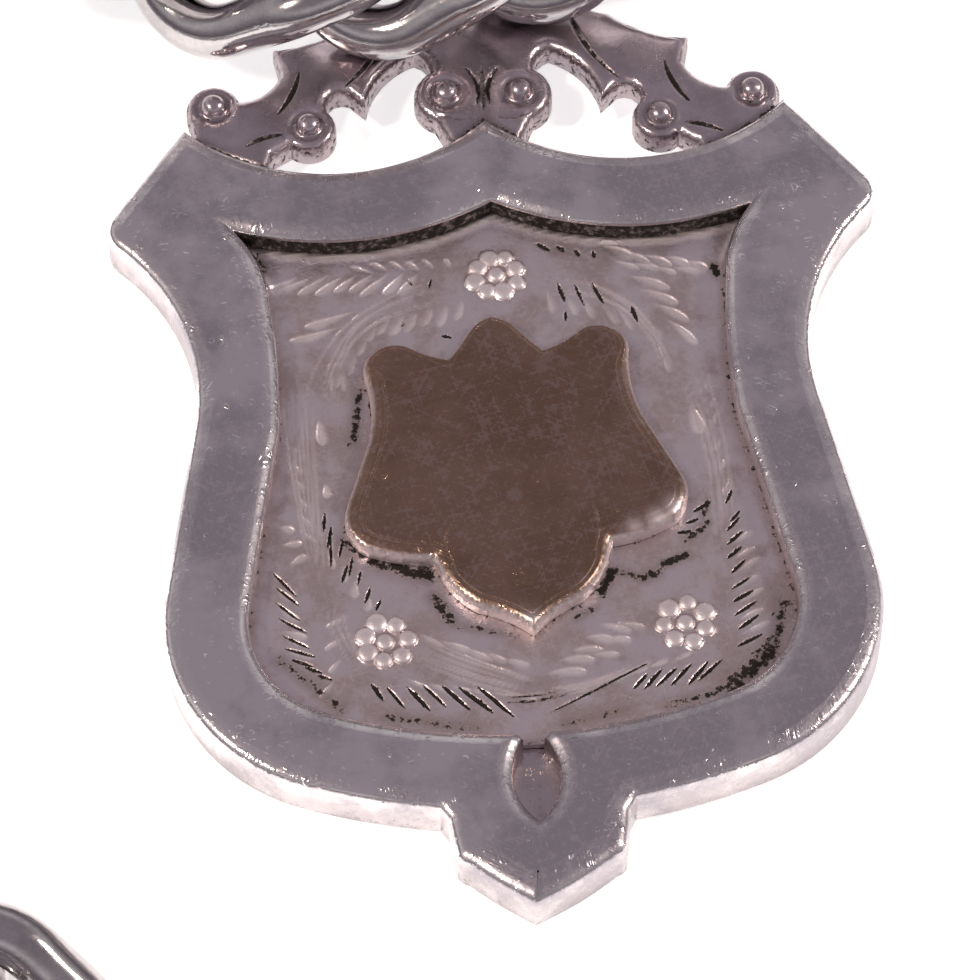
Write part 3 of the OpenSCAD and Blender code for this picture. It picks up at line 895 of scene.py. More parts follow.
FINE = [s for row in FERNS + LEAVES for s in comb(*row)]
STEMS = [s for row in BUNDLES for s in bundle(*row)]
STROKES = FINE + STEMS
print("strokes:", len(STROKES))

# %% [markdown]
# ### How deep the cuts are
# The slab's points ask one question: how far below the surface is the metal here? For each
# stroke that is its place along the curved line and its distance to the side. The deepest
# stroke counts, and the same sum gives the dirt that has settled in it.

# %% Depth of the cuts at a point
# places of a stroke's values, after its two ends
BEND, WIDTH, DEPTH, DIRT, VALLEY = range(4, 9)
BROAD, BROAD_START, BROAD_GROWTH = 0.25, 0.35, 0.8
THINNEST = 1e-6
DIRTY_SLOPE, DIRTY_SWELL = 0.08, 0.3


def along_stroke(points, stroke):
    """Share of the way along a stroke, and the distance to the side of its curved line."""
    start, end, bend = np.array(stroke[:2]), np.array(stroke[2:BEND]), stroke[BEND]
    length = np.hypot(*(end - start))
    unit = (end - start) / length
    way = (points - start) @ unit / length
    side = (points - start) @ np.array((-unit[1], unit[0])) - 4 * bend * way * (1 - way)
    return way, side, length


def distance_to_strokes(points, strokes):
    best = np.full(len(points), FAR)
    for stroke in strokes:
        way, side, length = along_stroke(points, stroke)
        past = np.maximum(np.maximum(-way, way - 1) * length, 0)
        best = np.minimum(best, np.hypot(past, np.maximum(np.abs(side) - stroke[WIDTH] / 2, 0)))
    return best


def cut_into(points, strokes):
    """Depth of the cuts and the dirt in them, at each point."""
    depth, dirt_and_shade = np.zeros(len(points)), np.zeros(len(points))
    for stroke in strokes:
        way, side, length = along_stroke(points, stroke)
        swell = np.sqrt(np.clip(4 * way * (1 - way), 0, 1))
        if stroke[WIDTH] > BROAD:
            swell = swell * (BROAD_START + BROAD_GROWTH * np.clip(way, 0, 1))
        half = np.maximum(stroke[WIDTH] / 2 * swell, THINNEST)
        place, valley = side / half, stroke[VALLEY]
        slope = np.where(place < valley, (place + 1) / (valley + 1), (1 - place) / (1 - valley))
        slope = np.where((way > 0) & (way < 1), np.clip(slope, 0, 1), 0)
        depth = np.maximum(depth, stroke[DEPTH] * slope * swell)
        inside = smooth(slope, 0, DIRTY_SLOPE) * smooth(swell, 0, DIRTY_SWELL)
        dirt_and_shade = np.maximum(dirt_and_shade, stroke[DIRT] * inside)
    return depth, dirt_and_shade


# %% [markdown]
# ## The sunk field
# The floor of the recess carries three punched flowers, each a ring of round bosses about one
# in the middle, and the foliage that runs between them. It is a slab of its own let into the
# body. Old grime lies along the walls and in streaks that no cloth reached. Beside the small
# plate and under its lower edge the dark is painted shadow as well as grime. Those streaks are a
# short table of lines; the tarnish and shade group breaks them up.

# %% Tables of the field
FLOWERS = ((0.0, 10.1, 8, 0.3), (-5.05, -5.45, 7, 0.1), (5.85, -5.35, 7, 0.5))
PETAL_RING, PETAL_R, PETAL_RISE = 0.8, 0.37, 0.15
PETAL_PLACES, PETAL_SIZES, MIDDLE_SIZE = (0.93, 1.07), (0.88, 1.1), 0.9
# Streaks of grime; along the lower edge of the small plate they are painted shadow as well.
GRIME_AND_PLATE_SHADOW = [
    # x0, y0, x1, y1, radius, amount
    (-5.35, 5.3, -5.8, 3.1, 0.3, 0.75), (8.5, 4.2, 8.85, 1.8, 0.4, 0.72),
    (8.9, 1.6, 9.3, -0.6, 0.3, 0.68), (9.5, -4.8, 9.0, -6.4, 0.45, 0.68),
    (8.9, -6.6, 7.3, -8.1, 0.55, 0.8), (7.0, -8.2, 5.0, -8.7, 0.3, 0.66),
    (-6.3, -1.1, -5.3, -2.0, 0.32, 0.72), (-5.3, -2.0, -3.3, -2.8, 0.42, 0.85),
    (-3.2, -3.7, -2.6, -4.7, 0.32, 0.8), (-2.4, -4.9, -0.3, -5.5, 0.2, 0.66),
    (2.9, -3.9, 3.4, -3.0, 0.25, 0.9), (3.4, -3.0, 4.6, -3.4, 0.24, 0.75),
    (4.4, -3.4, 5.0, -3.2, 0.25, 0.85), (5.2, -2.9, 6.1, -2.5, 0.22, 0.9),
    (6.2, -1.9, 7.0, -1.2, 0.2, 0.8), (6.9, -0.9, 7.1, -0.3, 0.15, 0.8),
    (1.9, -4.9, 2.6, -4.5, 0.2, 0.72), (8.2, 10.0, 8.3, 9.6, 0.2, 0.95),
    (-8.9, 11.6, -8.7, 10.8, 0.35, 0.62), (9.3, 11.2, 8.9, 10.0, 0.3, 0.62),
    (-8.9, -5.9, -6.8, -8.1, 0.3, 0.64), (-5.2, -8.5, -2.0, -9.2, 0.25, 0.62),
    (1.2, -9.2, 3.4, -8.8, 0.22, 0.62),
]
FIELD_CELL, FIELD_REACHES = 0.155, (0.09, 0.02)
FIELD_OVERLAP, FIELD_UNDER, TOOL_HIGH = 0.06, 0.04, 3
BOSS_SIDE, BOSS_BAND = 0.7, 0.3
LIP_PLACE, LIP_WIDTH, LIP_RISE = 0.17, 0.09, 0.09
UPPER_FROM, UPPER_TO = 9.5, 10.5
# Paler cuts and boss tops: partly clean metal, partly painted sheen. LIP_HIGHLIGHT is a painted highlight.
CUT_PALE, BOSS_PALE, LIP_HIGHLIGHT = 0.5, 0.55, 0.8
PALE_CUT_DIRT, PALE_CUT_DEPTH, PALE_BOSS_RISE = 0.4, 0.035, (0.03, 0.1)
UNEVENNESS = 0.012
WALL_DIRT, RIGHT_DIRT, UPPER_CLEAN, RIGHT_FROM, RIGHT_TO = 0.5, 0.15, 0.4, 5, 8
# PLATE_SHADE_AND_DIRT is painted shadow under the small plate's edge, together with dirt.
WALL_DIRT_REACH, PLATE_SHADE_REACH, PLATE_SHADE_AND_DIRT = 0.4, 0.3, 0.6
BOSS_DIRT, BOSS_DIRT_AT, BOSS_DIRT_WIDTH, BOSS_FOOT = 0.45, 1.05, 0.12, 0.05

# %% [markdown]
# ### Punched flowers
# A flower is struck with a punch for each petal, so its petals differ a little in size and in
# place. Every boss is a flattened half ball, given by its place and its radius.

# %% Punched flowers


def flower_bosses():
    for x, y, petals, turn in FLOWERS:
        yield x, y, PETAL_R * MIDDLE_SIZE
        for i in range(petals):
            angle = turn + 2 * math.pi * i / petals
            reach = PETAL_RING * HAND.uniform(*PETAL_PLACES)
            swell = PETAL_R * HAND.uniform(*PETAL_SIZES)
            yield x + reach * math.cos(angle), y + reach * math.sin(angle), swell


BOSSES = list(flower_bosses())


def boss_rise(points):
    rise = np.zeros(len(points))
    for x, y, r in BOSSES:
        away = np.hypot(points[:, 0] - x, points[:, 1] - y) / r
        rise = np.maximum(rise, PETAL_RISE * np.sqrt(np.clip(1 - away**2, 0, 1)))
    return rise


def near_work(points, strokes):
    """Distance to the nearest cut or boss."""
    best = distance_to_strokes(points, strokes)
    for x, y, r in BOSSES:
        away = np.hypot(points[:, 0] - x, points[:, 1] - y)
        best = np.minimum(best, np.abs(away - r * BOSS_SIDE) - r * BOSS_BAND)
    return best


# %% [markdown]
# ### The height of the field
# The height at a point is the floor, plus a boss, less a cut, with slow waves over all of it and
# a low lip along the top wall. It is a plain sum, so any part of it can be changed alone.

# %% Height of the field


def hand_unevenness(points):
    """Long shallow waves, because no hand-worked sheet is flat."""
    x, y = points.T
    waves = np.sin(1.7 * x + 0.6 * y) + np.sin(1.1 * y - 0.9 * x + 2) + np.sin(2.9 * x - 2.3 * y)
    return UNEVENNESS * waves


def top_lip(points):
    """The lip along the foot of the top wall. It also carries a painted highlight."""
    away = (distance_to(points, outline_points(FIELD)) - LIP_PLACE) / LIP_WIDTH
    return np.exp(-(away**2)) * smooth(points[:, 1], UPPER_FROM, UPPER_TO)


def field_height(points):
    depth, _ = cut_into(points, STROKES)
    return FLOOR_Z + boss_rise(points) - depth + hand_unevenness(points) + LIP_RISE * top_lip(points)


# %% [markdown]
# ### Where the field is pale and where it is dark
# A fresh cut and the top of a boss are paler, partly clean metal and partly painted sheen, and
# the lip along the top wall carries a painted highlight. Dirt gathers in the deep cuts, along the
# walls, round the bosses and in the streaks, and beside the small plate it is painted shadow as
# well. Both are written on the vertices, because the materials can't know where a wall stands.

# %% Pale, highlighted, dirty and shaded places


def pale_cuts_and_highlights(points):
    """How pale the metal is: the wide cuts and the boss tops, partly clean and partly painted sheen, and
    the painted highlight on the lip.
    """
    depth, _ = cut_into(points, [s for s in STROKES if s[DIRT] < PALE_CUT_DIRT])
    cuts, bosses = smooth(depth, 0, PALE_CUT_DEPTH), smooth(boss_rise(points), *PALE_BOSS_RISE)
    return np.maximum.reduce([CUT_PALE * cuts, BOSS_PALE * bosses, LIP_HIGHLIGHT * top_lip(points)])


def segment_distance(points, x0, y0, x1, y1):
    return distance_to_edges(points, np.array([[(x0, y0), (x1, y1)]]))


def field_dirt_and_shade(points):
    """Dirt in the cuts, along the walls, about the bosses and in streaks, and painted shadow with dirt
    about the small plate.
    """
    _, dirt_and_shade = cut_into(points, STROKES)
    x, y = points.T
    heavy = WALL_DIRT + RIGHT_DIRT * smooth(x, RIGHT_FROM, RIGHT_TO)
    heavy = heavy - UPPER_CLEAN * smooth(y, UPPER_FROM, UPPER_TO)
    wall = np.clip(1 - distance_to(points, outline_points(FIELD)) / WALL_DIRT_REACH, 0, 1)
    # Painted shadow and dirt beside the small plate.
    plate = np.clip(1 - distance_to(points, outline_points(PLATE)) / PLATE_SHADE_REACH, 0, 1)
    dirt_and_shade = np.maximum.reduce([dirt_and_shade, heavy * wall, PLATE_SHADE_AND_DIRT * plate])
    for x0, y0, x1, y1, r, amount in GRIME_AND_PLATE_SHADOW:
        away = segment_distance(points, x0, y0, x1, y1) / r
        dirt_and_shade = np.maximum(dirt_and_shade, amount * np.exp(-(away**2)))
    around = np.zeros(len(points))
    for x, y, r in BOSSES:
        away = np.hypot(points[:, 0] - x, points[:, 1] - y) / r
        halo = BOSS_DIRT * np.exp(-(((away - BOSS_DIRT_AT) / BOSS_DIRT_WIDTH) ** 2))
        around = np.maximum(around, halo)
    return np.maximum(dirt_and_shade, np.where(boss_rise(points) > BOSS_FOOT, 0, around))


# %% [markdown]
# ### Making the field
# The outline of the small plate comes first, since dirt and painted shadow also lie along it.
# The slab is a little larger than the recess, so that its edge is hidden in the body's wall. Its
# cells are divided twice near the fine strokes and the bosses, and once near the stems.

# %% Engraved field


def turned(rows, degrees, about):
    """An outline table, turned anticlockwise about a point."""
    c, s = math.cos(math.radians(degrees)), math.sin(math.radians(degrees))
    ax, ay = about
    return [(ax + c * (x - ax) - s * (y - ay), ay + s * (x - ax) + c * (y - ay), r) for x, y, r in rows]


PLATE_ROWS = mirrored([
    (0, 7.95, 1.6), (1, 7.25, -8), (1.8, 6.25, -4), (3.2, 6.97, 1.2), (4.6, 6.8, 0.9),
    (4.95, 5.9, -6), (5.1, 3, 0), (6.2, 0.3, 1.6), (5.75, -1.5, 6), (3.3, -2.2, -1.5),
    (3.05, -2.9, 3.2), (1.9, -4.4, -5), (0, -5.6, 0),
])
PLATE_TURN, PLATE_PIVOT = 3, (0.1, 1)
PLATE = turned(PLATE_ROWS, PLATE_TURN, PLATE_PIVOT)
tool = bmesh.new()
prism(tool, FIELD, 0, TOOL_HIGH, grow=FIELD_OVERLAP)
bm = cut_slab(tool, POCKET_Z + FIELD_UNDER, FLOOR_Z, FIELD_CELL)
for strokes, reach in zip((STROKES, FINE), FIELD_REACHES):
    divide_near(bm, FLOOR_Z, lambda points: near_work(points, strokes), reach)
places = lift_top(bm, FLOOR_Z, field_height)
print("points on the field:", len(places))
field = finish_piece("engraved_field", bm, FIELD_SILVER, ["fob"], sharp=60)
points = vertex_array(field)[:, :2]
write_layer(field, "dirt_and_shade", field_dirt_and_shade(points))
write_layer(field, "worn_and_sheen", pale_cuts_and_highlights(points))

# %% [markdown]
# ## The small plate
# The plate in the middle is cut from a warmer metal and soldered a little askew. Its edge is
# rounded, and a polished bevel runs inside the edge down to a fine line, wide at the left and
# narrow at the foot. At the lower right the polish has worn to bare silver. A pale band along
# the whole edge is partly that wear and partly a painted highlight.

# %% Small plate
PLATE_LOW, PLATE_TOP = 1.18, 1.9
LINE_WIDTH, LINE_DEPTH = 0.05, 0.035
PLATE_LINES = [
    # x0, y0, x1, y1, bend, width, depth, dirt, valley
    (-2.35, -0.9, -2.3, -3.0, -0.3, 0.12, 0.04, 0, 0),
    (2.75, -0.3, 3.0, -2.2, 0.1, 0.12, 0.04, 0, 0),
]
WORN = (
    # x, y, radius, amount
    (5.9, -0.9, 0.5, 0.7), (5.2, -1.35, 0.45, 0.7), (4.3, -1.6, 0.35, 0.5), (0.3, -5.3, 0.4, 0.5),
)
EDGE_ROUND, EDGE_DROP, BEVEL_DROP, BEVEL_FROM, LINE_BEYOND = 0.2, 0.22, 0.09, 0.05, 0.04
SIDE_BEVEL, SIDE_TAPER, TOP_BEVEL, FOOT_NARROWING = 0.46, 0.014, 0.16, 0.12
SIDE_ENDS, FOOT_STARTS = (5.2, 6.3), (-3.5, -1.5)
PLATE_CELL, PLATE_REACHES, LINES_FARTHER = 0.16, (0.8, 0.65), 0.6
EDGE_WEAR_AND_HIGHLIGHT, EDGE_HIGHLIGHT_AT = 0.75, (0.02, 0.2)


def bevel_width(points):
    """Wide along the left side, less so along the right, and narrow at the top and the foot."""
    x, y = points.T
    side = SIDE_BEVEL - SIDE_TAPER * x
    at_side, at_foot = 1 - smooth(y, *SIDE_ENDS), 1 - smooth(y, *FOOT_STARTS)
    return TOP_BEVEL + (side - TOP_BEVEL) * at_side - FOOT_NARROWING * at_foot


def plate_height(points):
    edge = distance_to_edges(points, plate_rim)
    width = bevel_width(points)
    inward = 1 - np.clip(edge / EDGE_ROUND, 0, 1)
    round_off = EDGE_DROP * (1 - np.sqrt(np.clip(1 - inward**2, 0, 1)))
    slope = BEVEL_DROP * (1 - smooth(edge, BEVEL_FROM, width))
    line = LINE_DEPTH * np.exp(-(((edge - width - LINE_BEYOND) / LINE_WIDTH) ** 2))
    depth, _ = cut_into(points, PLATE_LINES)
    return PLATE_TOP - round_off - slope - line - depth


def near_plate_work(points):
    """Distance to the edge or to a line, the lines counting from a little farther away."""
    to_lines = distance_to_strokes(points, PLATE_LINES) + LINES_FARTHER
    return np.minimum(distance_to_edges(points, plate_rim), to_lines)


tool = bmesh.new()
prism(tool, PLATE, 0, TOOL_HIGH)
bm = cut_slab(tool, PLATE_LOW, PLATE_TOP, PLATE_CELL)
plate_rim = top_rim(bm, PLATE_TOP)
for reach in PLATE_REACHES:
    divide_near(bm, PLATE_TOP, near_plate_work, reach)
lift_top(bm, PLATE_TOP, plate_height)
plate = finish_piece("small_plate", bm, ROSE_METAL, ["cartouche"], sharp=50)
points = vertex_array(plate)
# The pale band along the edge is partly wear and partly a painted highlight.
worn_and_sheen = EDGE_WEAR_AND_HIGHLIGHT * (1 - smooth(distance_to_edges(points[:, :2], plate_rim), *EDGE_HIGHLIGHT_AT))
for x, y, r, amount in WORN:
    spot = amount * np.exp(-((np.hypot(points[:, 0] - x, points[:, 1] - y) / r) ** 2))
    worn_and_sheen = np.maximum(worn_and_sheen, spot)
write_layer(plate, "worn_and_sheen", worn_and_sheen)

# %% [markdown]
# ## The cast crest
# Above the shield stands a pierced scroll: two volutes in the middle, a pair of leaves that
# sweep outward, and small scrolls at their ends. On the real object it is one thin casting with
# soft edges, a round boss in the eye of every scroll, and grooves that part the stems. Its
# outline is a table like the others, with the round scroll ends added as discs, and its relief
# comes from the same kind of height function as the field's.

# %% Tables of the crest
CREST_LOW, CREST_TOP = 0.78, 1.9
CREST_TURN, CREST_PIVOT = -1.5, (-3, 17)
CREST_ROWS = mirrored([
    (0, 23.7, 3.5), (2.6, 22.95, -6), (5, 21.7, -5), (8, 20.5, 0), (7.75, 19.3, -1.8),
    (9.45, 18.1, 0), (10.3, 17.8, 0), (11.2, 17.2, 0), (11.1, 16, 0), (8.3, 14.7, 0),
    (8.05, 15.55, 0), (7.4, 15.95, 0), (6.7, 16.8, 0), (5.95, 17.5, -0.6), (5.15, 18.3, 0),
    (4.5, 17.65, -3.2), (2.6, 20.1, -0.9), (2.05, 18.9, 0), (1.4, 18.1, 0), (1.9, 17, 0),
    (1.2, 15.5, 0), (0, 15.5, 0),
])
SCROLL_HALF = ((1.4, 18.1, 1.25), (6.7, 16.8, 1.05), (10.3, 17.8, 1.05))
SCROLLS = [(side * x, y, r) for side in (-1, 1) for x, y, r in SCROLL_HALF]
BOSS_R, BOSS_RISE = 0.48, 0.4
HOLLOW_AT, HOLLOW_WIDTH, HOLLOW_DEPTH = 0.62, 0.16, 0.09
SCROLL_DIRT, SCROLL_DIRT_AT, SCROLL_DIRT_WIDTH = 0.5, 0.56, 0.13
SOFT_EDGE, SOFT_DROP = 0.42, 0.4
EDGE_SHADE_AND_DIRT, EDGE_SHADE_REACH, JOIN_DIRT, JOIN_DIRT_REACH = 0.5, 0.2, 0.7, 0.35
CREST_CELL, CREST_REACHES, EDGE_WORK, SCROLL_WORK = 0.17, (0.2, 0.08), 0.15, 0.7
CREST_TOOL_HIGH, DISC_HIGH, DISC_SIDES = 4, 5, 40
CREST_GROOVES = [
    # x0, y0, x1, y1, bend, width, depth, dirt, valley: right half
    (0.0, 19.4, 0.0, 17.2, 0.0, 0.22, 0.1, 0.6, 0.0),
    (0.25, 17.5, 0.7, 19.3, 0.25, 0.2, 0.12, 0.8, 0.3),
    (1.9, 17.2, 0.5, 16.9, 0.12, 0.18, 0.08, 0.3, 0.3),
    (1.6, 20.0, 4.4, 18.4, -0.35, 0.3, 0.1, 0.4, 0.3),
    (3.4, 21.9, 5.3, 18.5, -0.3, 0.24, 0.12, 0.7, -0.3),
    (5.6, 21.0, 7.8, 20.2, 0.1, 0.2, 0.08, 0.4, -0.3),
    (7.0, 19.3, 7.9, 17.3, -0.15, 0.24, 0.12, 0.85, 0.2),
    (7.6, 16.4, 9.1, 15.9, 0.1, 0.24, 0.1, 0.7, 0.0),
]

# %% [markdown]
# ### The relief of the crest
# The relief is worked out for the upright crest, where both halves are alike, and the slab is cut
# from the turned outline. So each point is first turned back to its upright place.

# %% Relief of the crest


def both_sides(strokes):
    """The strokes and their mirror images."""
    mirrors = [(-a, b, -c, d, -bow, w, deep, dirt_and_shade, -v) for a, b, c, d, bow, w, deep, dirt_and_shade, v in strokes]
    return strokes + mirrors


GROOVES = both_sides(CREST_GROOVES)


def unturned(points):
    """Crest points before the crest was turned."""
    turn = math.radians(-CREST_TURN)
    c, s = math.cos(turn), math.sin(turn)
    x, y = (points - CREST_PIVOT).T
    return np.stack((c * x - s * y, s * x + c * y), 1) + CREST_PIVOT


def scroll_relief(points):
    """Height and dirt of the round scroll ends: a boss and a hollow about it."""
    rise, dirt_and_shade = np.zeros(len(points)), np.zeros(len(points))
    for x, y, r in SCROLLS:
        away = np.hypot(points[:, 0] - x, points[:, 1] - y)
        boss = BOSS_RISE * np.sqrt(np.clip(1 - (away / BOSS_R) ** 2, 0, 1))
        rise += boss - HOLLOW_DEPTH * np.exp(-(((away - HOLLOW_AT) / HOLLOW_WIDTH) ** 2))
        halo = SCROLL_DIRT * np.exp(-(((away - SCROLL_DIRT_AT) / SCROLL_DIRT_WIDTH) ** 2))
        dirt_and_shade = np.maximum(dirt_and_shade, halo)
    return rise, dirt_and_shade


def crest_height(points):
    edge = np.clip(distance_to_edges(points, crest_rim) / SOFT_EDGE, 0, 1)
    round_off = SOFT_DROP * (1 - np.sqrt(1 - (1 - edge) ** 2))
    flat = unturned(points)
    grooves, _ = cut_into(flat, GROOVES)
    rise, _ = scroll_relief(flat)
    return CREST_TOP - round_off - grooves + rise + hand_unevenness(points)


def crest_dirt_and_shade(points):
    flat = unturned(points)
    _, dirt_and_shade = cut_into(flat, GROOVES)
    _, around = scroll_relief(flat)
    # Along the rounded edge: painted shade and dark reflection, with some dirt.
    edge = EDGE_SHADE_AND_DIRT * (1 - smooth(distance_to_edges(points, crest_rim), 0, EDGE_SHADE_REACH))
    from_shield = distance_to(points, outline_points(SHIELD))
    join = JOIN_DIRT * (1 - smooth(from_shield, 0, JOIN_DIRT_REACH))
    return np.maximum.reduce([dirt_and_shade, around, edge, join])


# %% [markdown]
# ### Cutting the crest
# The discs overlap the outline, so the tool isn't one clean shell. The exact boolean joins what
# overlaps while it cuts the slab, and saves a step.

# %% Cut the crest


def crest_tool():
    """The closed prism of the crest: its outline and its discs, made one by the slab's boolean."""
    tool = bmesh.new()
    prism(tool, turned(CREST_ROWS, CREST_TURN, CREST_PIVOT), 0, CREST_TOOL_HIGH)
    for x, y, r in SCROLLS:
        (x, y, _), = turned([(x, y, 0)], CREST_TURN, CREST_PIVOT)
        bmesh.ops.create_cone(
            tool, cap_ends=True, segments=DISC_SIDES, radius1=r, radius2=r, depth=DISC_HIGH,
            matrix=Matrix.Translation((x, y, CREST_TOOL_HIGH / 2)),
        )
    return tool


bm = cut_slab(crest_tool(), CREST_LOW, CREST_TOP, CREST_CELL)
crest_rim = top_rim(bm, CREST_TOP)


def near_crest_work(points):
    flat = unturned(points)
    to_rim = distance_to_edges(points, crest_rim) - EDGE_WORK
    best = np.minimum(distance_to_strokes(flat, GROOVES), to_rim)
    for x, y, _ in SCROLLS:
        best = np.minimum(best, np.hypot(flat[:, 0] - x, flat[:, 1] - y) - SCROLL_WORK)
    return best


for reach in CREST_REACHES:
    divide_near(bm, CREST_TOP, near_crest_work, reach)
lift_top(bm, CREST_TOP, crest_height)
crest = finish_piece("scroll_crest", bm, CREST_SILVER_SHADED, ["fob"], sharp=60)
write_layer(crest, "dirt_and_shade", crest_dirt_and_shade(vertex_array(crest)[:, :2]))

# %% [markdown]
# ## Wire bent to a path
# The eye, both rings, every link and the snap loop are wire. A curve with a round bevel is wire
# already: its handles bend it, and its bevel gives the gauge. Each path is written as arcs that
# turn from one direction to another, because that is how wire is bent round a mandrel. The
# curve is then turned into a mesh, so that hand wear can be pressed into it.

# %% Bend wires
WIRE_STEPS, WIRE_ROUND = 14, 10


def wire_mesh(points, wire, cyclic=True, steps=WIRE_STEPS):
    """A wire through (place, way in, way out) points, where the ways are handle vectors."""
    data = bpy.data.curves.new("wire", "CURVE")
    data.dimensions, data.twist_mode = "3D", "MINIMUM"
    data.resolution_u, data.render_resolution_u = steps, steps
    data.bevel_depth, data.bevel_resolution = wire / 2, WIRE_ROUND
    data.use_fill_caps = not cyclic
    spline = data.splines.new("BEZIER")
    spline.bezier_points.add(len(points) - 1)
    spline.use_cyclic_u = cyclic
    for knot, (place, way_in, way_out) in zip(spline.bezier_points, points):
        knot.handle_left_type = knot.handle_right_type = "FREE"
        place = Vector(place)
        knot.co = place
        knot.handle_left, knot.handle_right = place - Vector(way_in), place + Vector(way_out)
    holder = bpy.data.objects.new("wire", data)
    scene.collection.objects.link(holder)
    graph = bpy.context.evaluated_depsgraph_get()
    bm = bmesh.new()
    bm.from_mesh(holder.evaluated_get(graph).to_mesh())
    bpy.data.objects.remove(holder)
    return bm


# %% [markdown]
# ### Circles, wear and places
# Four knots with handles of the right length make a circle that can't be told from a true one.
# Wear is a slow wave pressed in along the normals, and a seed shifts it from link to link. Turns
# and moves are matrices, multiplied with the last one first.

# %% Circles, wear and places


def handle(radius, sweep):
    """Handle length that makes a curve follow an arc."""
    return 4 / 3 * math.tan(sweep / 4) * radius


def circle_points(radius, count=4):
    """Knots of a circle in the XZ plane."""
    reach = handle(radius, 2 * math.pi / count)
    knots = []
    for i in range(count):
        angle = 2 * math.pi * i / count
        way = Vector((-math.sin(angle), 0, math.cos(angle))) * reach
        knots.append(((radius * math.cos(angle), 0, radius * math.sin(angle)), way, way))
    return knots


def wear(bm, amount, seed=0.0):
    """Presses the slight unevenness of hand work into a piece."""
    for v in bm.verts:
        x, y, z = v.co
        push = math.sin(1.9 * x + 1.3 * y + seed) + math.sin(2.3 * z - 1.1 * y + 2 * seed)
        v.co += v.normal * push * amount


def place_by(bm, matrix):
    bmesh.ops.transform(bm, matrix=matrix, verts=bm.verts)


def turn(degrees, axis):
    return Matrix.Rotation(math.radians(degrees), 4, axis)


def move(x, y, z):
    return Matrix.Translation((x, y, z))


# %% [markdown]
# ### The eye above the crest
# The eye is a flattened oval of wire soldered on the crest's top. It could be a scaled torus,
# but then its wire would be thicker at the sides. Two half circles joined by straight runs keep
# one gauge all round. Dirt lies in it where it meets the crest.

# %% Eye above the crest
EYE_AT, EYE_BEND, EYE_STRAIGHT, EYE_WIRE = (0, 25, 1.55), 1.6, 0.7, 0.9
EYE_DIRT, EYE_DIRT_FROM, EYE_DIRT_TO = 0.6, 23.0, 24.2


def eye_points():
    """Two half circles of two knots and a middle, joined by two straight runs."""
    reach, run = handle(EYE_BEND, math.pi / 2), 2 * EYE_STRAIGHT / 3
    knots = []
    for side in (1, -1):
        low = Vector((side * EYE_STRAIGHT, -side * EYE_BEND, 0))
        mid = Vector((side * (EYE_STRAIGHT + EYE_BEND), 0, 0))
        top = Vector((side * EYE_STRAIGHT, side * EYE_BEND, 0))
        across, up = Vector((side, 0, 0)), Vector((0, side, 0))
        knots.append((low, across * run, across * reach))
        knots.append((mid, up * reach, up * reach))
        knots.append((top, -across * reach, -across * run))
    return knots


bm = wire_mesh(eye_points(), EYE_WIRE)
wear(bm, amount=0.012)
place_by(bm, move(*EYE_AT))
eye = finish_piece("eye", bm, CREST_SILVER_SHADED, ["fob"], sharp=80)
clean = smooth(vertex_array(eye)[:, 1], EYE_DIRT_FROM, EYE_DIRT_TO)
write_layer(eye, "dirt_and_shade", EYE_DIRT * (1 - clean))

# %% [markdown]
# ### The ring at the fob
# A jump ring is wire wound on a rod, cut and closed. Its closed seam is a fine groove across the
# wire, pressed here into the vertices on both sides of one angle. The ring leans as the weight
# of the chain's middle link leaves it, and every plain piece of the chain is finished alike.

# %% Ring at the fob
JUMP_RING_AT, JUMP_RING_TURN, JUMP_RING_LEAN = (-0.6, 27.37, 3.8), -18, 20.5
JUMP_RING_R, JUMP_RING_WIRE, JUMP_RING_SEAM = 3.5, 0.9, 2.2
SEAM_WIDTH, SEAM_DEPTH, SEAM_REACH = 0.05, 0.05, 4


def press_seam(bm, radius, angle):
    """The fine groove where the two ends of a ring's wire were soldered."""
    for v in bm.verts:
        around = math.atan2(v.co.z, v.co.x) - angle
        away = math.remainder(around, 2 * math.pi) * radius / SEAM_WIDTH
        if abs(away) < SEAM_REACH:
            v.co -= v.normal * SEAM_DEPTH * math.exp(-away * away)


def wound_ring(radius, wire, seam, steps):
    bm = wire_mesh(circle_points(radius), wire, steps=steps)
    wear(bm, amount=0.008)
    press_seam(bm, radius, seam)
    return bm


def plain_piece(name, bm, node, place, sharp=80):
    """Puts a clean piece of the chain in its place."""
    place_by(bm, place)
    piece = finish_piece(name, bm, LINK_SILVER, [node], sharp)
    write_layer(piece, "dirt_and_shade", np.zeros(len(piece.data.vertices)))


stand = move(*JUMP_RING_AT) @ turn(JUMP_RING_TURN, "Z") @ turn(-JUMP_RING_LEAN, "Y") @ turn(90, "Z")
bm = wound_ring(JUMP_RING_R, JUMP_RING_WIRE, JUMP_RING_SEAM, steps=28)
plain_piece("fob_ring", bm, "jump_ring", stand)

# %% [markdown]
# ## The curb chain
# A curb link is an oval ring of thick wire that was twisted after the chain was closed, so that
# every link lies flat against the next. Its wire falls away along both sides and climbs round
# the ends. One link is bent here from two slopes, and the chain is set out from a table of
# turns, as it lies on the table. All links are one shape, as they came off one mandrel. The
# wear on each is its own.

